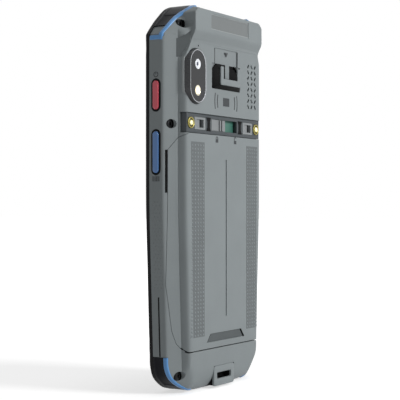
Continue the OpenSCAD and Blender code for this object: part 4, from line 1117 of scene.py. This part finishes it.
class TERMINAL_OT_strip(bpy.types.Operator):
    """Make the accessory strip with its contacts, hooks and latch"""

    bl_idname = "terminal.strip"
    bl_label = "Accessory strip"

    def execute(self, context):
        piece("strip_body", bevelled("contact_strip", 0.18), "strip", "strip_dark", "contact_strip")
        rings, domes, wells = [], [], []
        frames, floors, tongues, waists = [], [], [], []
        for side in (-1, 1):
            place = on_back(side * CONTACT_X, STRIP_Z)
            rings.append(lofted(place, disc(2.5, 36), [
                (0.0, STRIP_WEB), (0.0, STRIP_FACE + 0.35), (-0.12, STRIP_FACE + 0.52),
                (-0.35, STRIP_FACE + 0.6), (-0.62, STRIP_FACE + 0.5), (-0.78, STRIP_FACE + 0.2),
                (-0.85, STRIP_WEB)], True))
            wells.append(lofted(place, disc(1.7, 24), [(0, STRIP_WEB), (0, STRIP_FACE + 0.05)]))
            domes.append(lofted(place, disc(1.2, 28), [
                (0.05, STRIP_WEB + 0.05), (0.05, STRIP_FACE + 0.3), (-0.02, STRIP_FACE + 0.55),
                (-0.25, STRIP_FACE + 0.83), (-0.6, STRIP_FACE + 0.99), (-1.1, STRIP_FACE + 1.05)]))
            place = on_back(side * HOOK_X, STRIP_Z)
            frames.append(framed(place, rounded(8.8, 5.4, 0.45), rounded(5.8, 3.5, 0.3),
                                 STRIP_WEB, STRIP_FACE + 0.1))
            # Black floor beside the offset tongue in each hook well: painted shade in the recess
            floors.append(lofted(place, rounded(6.2, 3.9, 0.2), [(0, STRIP_WEB), (0, STRIP_WEB + 0.4)]))
            tongues.append(lofted(on_back(side * HOOK_X - 1.4, STRIP_Z - 0.1),
                                  rounded(2.9, 3.5, 0.25),
                                  [(0, STRIP_WEB + 0.1), (0, STRIP_FACE - 0.35),
                                   (-0.12, STRIP_FACE - 0.25)]))
            waist = [(11.9, -3.0), (15.6, -3.0), (14.6, -1.2), (14.6, 1.2), (15.6, 3.0), (11.9, 3.0),
                     (12.6, 1.2), (12.6, -1.2)]
            waists.append(slab(on_back(0, STRIP_Z), [(side * u, v) for u, v in waist],
                               STRIP_WEB + 0.4, STRIP_FACE + 0.12))
        piece("contact_rings", rings, "gold", "contact_gold", "strip_contacts")
        piece("contact_wells", wells, "black", "strip_dark")
        # Much lighter gold on the domes: painted highlight
        piece("contact_domes", domes, "highlight_gold", "contact_gold")
        piece("hook_surrounds", frames, "hook", "hook_light", "hook_frames")
        piece("hook_wells", floors, "black", "strip_dark")
        piece("hook_tongues", tongues, "slider", "hook_light")
        piece("strip_waists", smoothed(combined(waists)), "anchor", "strip_dark")
        self.latch()
        return {"FINISHED"}

    def latch(self):
        """Sliding grip with its two ribs; the node's own flange stays below it."""
        low, high = box_mm("latch_slider")
        height, width = 5.04, high.x - low.x
        face = STRIP_FACE - 0.3
        flange = merged("latch_slider")
        grip = lofted(on_back(low.x + width / 2, STRIP_Z), rounded(width, height, 0.35),
                      [(0, 14.7), (0, face - 0.05), (-0.15, face + 0.08)])
        piece("slider_grip", [flange, grip], "slider", "latch_grey", "latch_slider", body="latch")
        bars = [lofted(on_back(low.x + x, STRIP_Z), rounded(1.0, height - 0.2, 0.25),
                       above(face, [(0, -0.2), (0, 0.3), (-0.18, 0.48)]))
                for x in (width - 5.0, width - 2.9)]
        piece("slider_ribs", bars, "dark_key", "key_dark", body="latch")


class TERMINAL_OT_keys(bpy.types.Operator):
    """Make the side keys and the dark rims round them"""

    bl_idname = "terminal.keys"
    bl_label = "Side keys"

    def execute(self, context):
        rims = []
        for node, side, finish, body, slot in KEYS:
            low, high = box_mm(node)
            top = high.x if side > 0 else -low.x
            tall = high.z - low.z - 1.6
            place = on_side(side, KEY_DEPTH, middle((low, high), 2))
            ring = stadium(KEY_W, tall, 17)
            cap = lofted(place, ring, above(top, [
                (0.75, -2.9), (0.75, -2.45), (-0.2, -2.4), (-0.2, -0.5),
                (-0.3, -0.2), (-0.5, -0.04), (-0.8, 0), (-1.2, 0)]))
            piece(f"{node}_cap", cap, finish, slot, node, body=body)
            wall = surface_out(place, [(0, tall / 2)], WALL)[0]
            rims.append(lofted(place, ring, above(wall, [
                (-0.1, -1.0), (-0.1, 0.02), (0.0, 0.1), (0.5, 0.12),
                (0.72, 0.04), (0.72, -1.0)]), True))
        piece("key_rims", rims, "anchor", "bumper_black")
        return {"FINISHED"}


class TERMINAL_OT_textures(bpy.types.Operator):
    """Make the knurled bands of the cover and the grip dots of the side walls"""

    bl_idname = "terminal.textures"
    bl_label = "Knurl and grip dots"

    def execute(self, context):
        self.knurl(context.scene.terminal_knurl)
        self.dots()
        return {"FINISHED"}

    def knurl(self, sizes):
        """Bands of dots on darker beds, which stop where the cover's flat narrows."""
        column, row = sizes.column_pitch / MM, sizes.row_pitch / MM
        place = on_back(0, 0)
        (first, wide), (low, high), edge = KNURL_X, KNURL_Z, HALF_W - 8.4
        columns = [first + column * i for i in range(int(wide / column) + 1)]
        depths = surface_out(place, [(x, 90.0) for x in columns])
        points, bed = [], []
        for x, depth in zip(columns, depths):
            start = max(low, TAPER_TOP - (edge - x) / LEAN) if x > edge - 3 else low
            start = low + row * math.ceil((start - low) / row)
            near, far = x - column / 2, x + column / 2
            bed += [[(side * near, start - row / 2), (side * far, start - row / 2), (side * far, high),
                     (side * near, high)] for side in (-1, 1)]
            for k in range(int((high - start - row / 3) / row) + 1):
                points += [(side * x, FRONT_Y - depth - 0.02, start + row * k) for side in (-1, 1)]
        mesh = inked(place, bed, thick=0.03)
        piece("cover_knurl_beds", mesh, "knurl", "housing_grey", body="cover")
        mesh = repeated("knurl", studs_tree(), points, [(0, -1, 0)] * len(points), "housing",
                        Width=sizes.dot, Height=sizes.height, Top=0.6, Sides=6)
        piece("cover_knurl", mesh, "housing", "housing_grey", body="cover")

    def dots(self):
        """Staggered grip dots along the side walls."""
        (depth, z), (columns, wide), (rows, high) = GRIP_START, GRIP_COLUMNS, GRIP_ROWS
        spots = [(depth + wide * column + (wide / 2 if row % 2 else 0), z + high * row)
                 for row in range(rows) for column in range(columns)]
        points, ways = [], []
        for (depth, z), out in zip(spots, surface_out(on_side(1, 0, 0), spots, WALL)):
            for side in (-1, 1):
                points.append((side * out, FRONT_Y - depth, z))
                ways.append((side, 0, 0))
        mesh = repeated("dots", studs_tree(), points, ways, "grip", Width=0.85 * MM, Height=0.1 * MM,
                        Top=0.5, Sides=10)
        piece("side_grip_dots", mesh, "grip", "housing_grey")


class TERMINAL_OT_screws(bpy.types.Operator):
    """Make the housing screws"""

    bl_idname = "terminal.screws"
    bl_label = "Screws"

    def execute(self, context):
        head = loose("screw_master", self.head())
        low, high = box_mm("housing_screws")
        heights = [high.z - SCREW_R, STRIP_Z - 0.8, low.z + SCREW_R]
        points = [(side * x, FRONT_Y - depth, z)
                  for (x, depth), z in zip(SCREWS, heights) for side in (-1, 1)]
        mesh = repeated("screws", copies_tree(), points, [(0, -1, 0)] * len(points), "screw",
                        Master=head, Size=1.0)
        bpy.data.objects.remove(head)
        piece("housing_screw_heads", mesh, "screw", "screw_black", "housing_screws")
        # Black linings of the screw wells: painted shade
        wells = [self.well(x, z, FRONT_Y - y) for x, y, z in points]
        piece("screw_wells", smoothed(combined(wells)), "anchor", "screw_black")
        return {"FINISHED"}

    def well(self, x, z, depth):
        """Black lining of a screw's well, cut to the slope it stands in: painted shade in the well."""
        place = on_back(x, z)
        outer, inner = (disc(SCREW_R + gap, 36)(0) for gap in (0.17, 0.04))
        rings = [[(u, v, depth - 1.0) for u, v in outer], self.brim(place, x, z, outer),
                 self.brim(place, x, z, inner), [(u, v, depth - 1.0) for u, v in inner]]
        return bridged([[place(u, v, out) for u, v, out in ring] for ring in rings], True)

    def brim(self, place, x, z, ring):
        """Upper end of a lining: never above the slope, its middle or the hollow's floor."""
        slope = surface_out(place, ring)
        inward = surface_out(place, [(0.6 * u, 0.6 * v) for u, v in ring])
        slope = np.minimum(np.minimum(inward, slope), surface_out(place, [(0, 0)]))
        rows = []
        for (u, v), out in zip(ring, slope):
            side, up = abs(x + u), z + v
            turned = zip(HOLLOW, HOLLOW[1:] + HOLLOW[:1])
            inside = all(across(((ax, az), (bx - ax, bz - az)), side, up) < 0
                         for (ax, az), (bx, bz) in turned)
            rows.append((u, v, (min(out, HOLLOW_SUM - side) if inside else out) - 0.06))
        return rows

    def head(self):
        """Screw head with a star socket, standing on Z with its top at zero."""
        plain, star = disc(SCREW_R, 48), disc(0.72, 48, 6, 0.12)
        steps = [(plain, -0.1, -1.15), (plain, 0, -1.05), (plain, 0, -0.3), (plain, -0.1, -0.1),
                 (plain, -0.35, 0), (star, 0.12, 0), (star, 0, -0.08), (star, -0.04, -0.65)]
        rows = [[(u, v, out) for u, v in ring(grow)] for ring, grow, out in steps]
        return smoothed(bridged(rows))


class TERMINAL_OT_marks(bpy.types.Operator):
    """Print the plain marks: arrow, contactless sign, padlocks and key signs"""

    bl_idname = "terminal.marks"
    bl_label = "Marks"

    def execute(self, context):
        back = on_back(0, 0)
        arrow = [[(-1.35, 150.0), (1.35, 150.0), (0, 148.1)]]
        sign = [[(-2.6, 129.6), (2.6, 129.6), (2.6, 125.9), (-2.6, 125.9)]]
        for side in (-1, 1):
            for furthest, radius in ((7.6, 11.5), (9.8, 14.0)):
                bend = arc(furthest - radius, 127.75, radius, -14.5, 14.5)
                sign.append(strokes([(side * x, z) for x, z in bend], 0.5))
        # Dark lines printed along the channel's two grooves: painted shade in the grooves
        grooves = [strokes([(side * 9.95, HOOD_Z + 5.3), (side * 9.95, HEAD_FOOT - 1.2)], 0.34)
                   for side in (-1, 1)]
        piece("back_marks", inked(back, arrow + sign + grooves), "ink", "strip_dark")
        locks = []
        for x, lift in ((-8.0, 0.0), (8.0, 0.55)):
            locks.append([(x - 1.0, 109.3), (x + 1.0, 109.3), (x + 1.0, 110.8), (x - 1.0, 110.8)])
            shackle = [(x - 0.7, 110.7)] + arc(x, 111.2 + lift, 0.7, 180, 0, 9)
            locks.append(strokes(shackle + ([] if lift else [(x + 0.7, 110.7)]), 0.3))
        piece("cover_marks", inked(back, locks), "ink", "strip_dark", body="cover")
        self.side_signs()
        self.side_lines()
        self.recesses()
        return {"FINISHED"}

    def side_lines(self):
        """Black fillings of the side grooves and of the nail slots beside the cover, and black wedges on
        the foot beside the loop; all are painted shade.
        """
        inner, outer, low, high = NAIL_SLOT
        slot = [(inner, low), (outer, low), (outer, high), (inner, high)]
        # Black wedges on the foot beside the loop: painted shade
        loop_side_shade = [(8.78, 9.2), (9.4, 7.4), (10.3, 4.8), (10.4, 1.5), (8.78, 1.5)]
        # Black line down each side groove: painted shade in the groove
        groove = strokes([(5.7, 42.0), (5.6, 41.0), (5.6, 30.0), (5.6, 16.4)], 0.7)
        parts = []
        for side in (-1, 1):
            parts.append(inked(on_side(side, 0, 0), [groove], WALL, 0.03))
            for outline, thick in ((slot, -0.02), (loop_side_shade, 0.02)):
                outline = [(side * u, v) for u, v in outline]
                parts.append(inked(on_back(0, 0), [outline], thick=thick))
        piece("side_lines", parts, "anchor", "bumper_black")

    def recesses(self):
        """Coarse floors of the thumb recess and of the hollows, darker as painted shade, black side walls
        of the thumb recess as painted shade, and the cover's lip seal.
        """
        back = on_back(0, 0)
        # Darker floor of the thumb recess: painted shade
        piece("thumb_floor", slab(back, RECESS, 16.2, 16.46), "shaded_floor", "housing_grey", body="cover")
        # Black strips on the recess's slanted side walls: painted shade
        rims = [slab(back, strokes([(side * 13.3, 24.6), (side * 16.05, 21.4)], 0.5), 16.3, 16.82)
                for side in (-1, 1)]
        piece("thumb_rims", rims, "anchor", "housing_grey", body="cover")
        # Darker floors of the hollows beside the head: painted shade
        floors = [bridged([[(side * x, FRONT_Y - HOLLOW_SUM + x - out, z) for x, z in HOLLOW]
                           for out in (-0.3, 0.05)]) for side in (-1, 1)]
        piece("hollow_floors", floors, "shaded_floor", "housing_grey")
        across_back = np.linspace(-31.0, 31.0, 41)
        edge = COVER_LOW + np.maximum(np.abs(across_back) - LIP_TURN, 0.0) * 1.2
        rows = []
        for x, low, out in zip(across_back, edge,
                               surface_out(back, np.column_stack([across_back, edge + 0.2])) - 0.3):
            rows.append([(x, FRONT_Y - depth, z) for depth, z in (
                (out - 0.9, low - 0.13), (out, low - 0.13), (out, low + 0.1), (out - 0.9, low + 0.1))])
        piece("cover_lip", bridged(rows), "anchor", "bumper_black", body="cover")

    def side_signs(self):
        """Signs beside the keys: a power ring above and plain bars below."""
        power = [strokes(arc(5.4, 137.3, 1.05, 115, 425, 25), 0.35),
                 strokes([(5.4, 137.3), (5.4, 138.6)], 0.35)]
        bars = [[(u, 91.6), (u + w, 91.6), (u + w, 93.8), (u, 93.8)]
                for u, w in ((3.7, 0.5), (4.6, 0.25), (5.2, 0.6), (6.1, 0.25), (6.7, 0.45))]
        mesh = inked(on_side(-1, 0, 0), power + bars, WALL)
        piece("side_signs", mesh, "ink", "strip_dark")


class TERMINAL_OT_label(bpy.types.Operator):
    """Make the bare label panel in the head's recess"""

    bl_idname = "terminal.label"
    bl_label = "Label panel"

    def execute(self, context):
        place = on_back(0, LABEL_Z)
        panel = [(0, 18.6), (0, 18.97), (-0.05, 19.02), (-0.1, 19.03), (-0.3, 19.03), (-0.6, 19.03)]
        piece("label_panel", lofted(place, rounded(32.4, 6.2, 0.5), panel), "label", "housing_grey")
        border = framed(place, rounded(33.0, 6.8, 0.6), rounded(32.3, 6.1, 0.4), 18.7, 19.12, 0.06)
        # Paler grey border: a painted highlight along its thin edge
        piece("label_border", border, "highlight_grey", "housing_grey")
        return {"FINISHED"}


ROUNDED = [
    # node, edge radius, finish, body, slot
    ("front_glass", 0.2, "glass", "housing", "front_glass"),
    ("scan_window", 0.1, "window", "housing", "scan_window"),
    ("usb_port", 0.08, "steel", "housing", "shield_steel"),
]

INNER = {
    "display_panel": "black", "earpiece": "mesh", "front_camera": "coated_lens",
    "mid_frame": "alloy", "main_board": "board", "board_shields": "steel",
    "lower_board": "board", "vibration_motor": "steel",
    "nfc_antenna": "copper", "loudspeaker": "black", "speaker_mesh": "mesh",
    "camera_module": "black", "scan_engine": "black",
    "latch_floor": "green", "cover_pad": "foam", "battery_pack": "battery",
    "battery_contacts": "gold", "bay_seal": "foam", "key_switches": "cream",
}


class TERMINAL_OT_fittings(bpy.types.Operator):
    """Round the edges of the remaining fittings and finish the inner pieces"""

    bl_idname = "terminal.fittings"
    bl_label = "Fittings"

    def execute(self, context):
        for node, radius, finish, body, slot in ROUNDED:
            piece(f"{node}_rounded", bevelled(node, radius), finish, slot, node, body=body)
        for node, finish in INNER.items():
            painted(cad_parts[node].data, finish)
        return {"FINISHED"}


class TERMINAL_OT_stage(bpy.types.Operator):
    """Set up the camera, the lamps, the world and the floor"""

    bl_idname = "terminal.stage"
    bl_label = "Stage"

    def execute(self, context):
        settings = context.scene.terminal_stage
        scene = context.scene
        scene.view_settings.view_transform = "Standard"
        camera = bpy.data.objects.new("camera", bpy.data.cameras.new("camera"))
        scene.collection.objects.link(camera)
        camera.data.lens = settings.lens
        camera.data.sensor_width = 36
        camera.data.clip_start = 0.01
        camera.location = Vector(EYE) * MM
        camera.rotation_euler = Vector(LOOK).to_track_quat("-Z", "Y").to_euler()
        scene.camera = camera
        self.lamp(scene, "key_lamp", (0.3, -1.45, 0.7), 0.45, settings.key_power)
        self.lamp(scene, "top_lamp", (0.1, -0.2, 1.5), 0.5, settings.key_power * 0.22)
        self.world(scene, settings)
        self.floor(scene, settings)
        return {"FINISHED"}

    def lamp(self, scene, name, place, size, power):
        """Square soft lamp, in metres, that looks at the terminal."""
        light = bpy.data.lights.new(name, "AREA")
        light.size = size
        light.energy = power
        lamp = bpy.data.objects.new(name, light)
        lamp.location = place
        lamp.rotation_euler = (Vector((0, 0, 0.08)) - Vector(place)).to_track_quat("-Z", "Y").to_euler()
        scene.collection.objects.link(lamp)

    def seen(self, tree):
        """One where a ray comes from the camera, a mirror or through glass."""
        path = add(tree, "ShaderNodeLightPath")
        some = add(tree, "ShaderNodeMath", {0: path.outputs["Is Camera Ray"],
                                            1: path.outputs["Is Glossy Ray"]}, operation="MAXIMUM")
        return add(tree, "ShaderNodeMath", {0: some.outputs[0], 1: path.outputs["Is Transmission Ray"]},
                   operation="MAXIMUM").outputs[0]

    def world(self, scene, settings):
        """White room: dim as a light, pure white where it is seen."""
        world = bpy.data.worlds.new("studio")
        world.use_nodes = True
        tree = world.node_tree
        tree.nodes.clear()
        strength = add(tree, "ShaderNodeMapRange", {"Value": self.seen(tree), "To Min": settings.world,
                                                    "To Max": 1.0})
        light = add(tree, "ShaderNodeBackground", {"Color": (1, 1, 1, 1),
                                                   "Strength": strength.outputs["Result"]})
        out = add(tree, "ShaderNodeOutputWorld")
        tree.links.new(light.outputs[0], out.inputs["Surface"])
        scene.world = world

    def floor(self, scene, settings):
        """Pale matt floor that keeps the shadow and looks white further off."""
        mesh = bpy.data.meshes.new("floor")
        corners = [(-1, -1), (1, -1), (1, 1), (-1, 1)]
        mesh.from_pydata([(FLOOR_HALF * x, FLOOR_HALF * y, -0.0001) for x, y in corners], [],
                         [(0, 1, 2, 3)])
        floor = bpy.data.objects.new("floor", mesh)
        scene.collection.objects.link(floor)
        material, tree, surface = blank("studio_floor")
        matt = add(tree, "ShaderNodeBsdfDiffuse", {"Color": colour("#e4e4e4")})
        place = add(tree, "ShaderNodeTexCoord").outputs["Object"]
        away = add(tree, "ShaderNodeVectorMath", {0: place}, operation="LENGTH")
        # Past the reach of the shadow the floor turns pure white, so that no horizon shows
        strength = add(tree, "ShaderNodeMapRange", {
            "Value": away.outputs["Value"], "From Min": 0.12, "From Max": 0.5,
            "To Min": settings.floor_glow, "To Max": 1.05})
        glow = add(tree, "ShaderNodeEmission", {"Color": (1, 1, 1, 1),
                                                "Strength": strength.outputs["Result"]})
        dark = add(tree, "ShaderNodeEmission", {"Color": (0, 0, 0, 1), "Strength": 0.0})
        extra = add(tree, "ShaderNodeMixShader", {"Fac": self.seen(tree), 1: dark.outputs[0],
                                                  2: glow.outputs[0]})
        both = add(tree, "ShaderNodeAddShader", {0: matt.outputs[0], 1: extra.outputs[0]})
        tree.links.new(both.outputs[0], surface)
        mesh.materials.append(material)


class TERMINAL_PT_sidebar(bpy.types.Panel):
    """List of the terminal's pieces and their settings"""

    bl_label = "Data Terminal"
    bl_idname = "TERMINAL_PT_sidebar"
    bl_space_type = "VIEW_3D"
    bl_region_type = "UI"
    bl_category = "Terminal"

    def draw(self, context):
        layout = self.layout
        for operator in OPERATORS:
            layout.operator(operator.bl_idname)
        for name, group in GROUPS.items():
            settings = getattr(context.scene, name)
            for key in group.__annotations__:
                layout.prop(settings, key)


OPERATORS = [
    TERMINAL_OT_stage, TERMINAL_OT_housing, TERMINAL_OT_trims, TERMINAL_OT_camera,
    TERMINAL_OT_anchors, TERMINAL_OT_strip, TERMINAL_OT_keys, TERMINAL_OT_textures,
    TERMINAL_OT_screws, TERMINAL_OT_marks, TERMINAL_OT_label, TERMINAL_OT_fittings,
]
GROUPS = {
    "terminal_shell": TerminalShell,
    "terminal_knurl": TerminalKnurl,
    "terminal_paint": TerminalPaint,
    "terminal_stage": TerminalStage,
}


def register():
    for group in GROUPS.values():
        bpy.utils.register_class(group)
    for name, group in GROUPS.items():
        setattr(bpy.types.Scene, name, PointerProperty(type=group))
    for operator in OPERATORS:
        bpy.utils.register_class(operator)
    bpy.utils.register_class(TERMINAL_PT_sidebar)


def unregister():
    bpy.utils.unregister_class(TERMINAL_PT_sidebar)
    for operator in reversed(OPERATORS):
        bpy.utils.unregister_class(operator)
    for name in GROUPS:
        delattr(bpy.types.Scene, name)
    for group in reversed(list(GROUPS.values())):
        bpy.utils.unregister_class(group)


def main():
    register()
    bpy.ops.terminal.stage()
    bpy.ops.terminal.housing()
    bpy.ops.terminal.trims()
    bpy.ops.terminal.camera()
    bpy.ops.terminal.anchors()
    bpy.ops.terminal.strip()
    bpy.ops.terminal.keys()
    bpy.ops.terminal.textures()
    bpy.ops.terminal.screws()
    bpy.ops.terminal.marks()
    bpy.ops.terminal.label()
    bpy.ops.terminal.fittings()


if __name__ == "__main__":
    main()
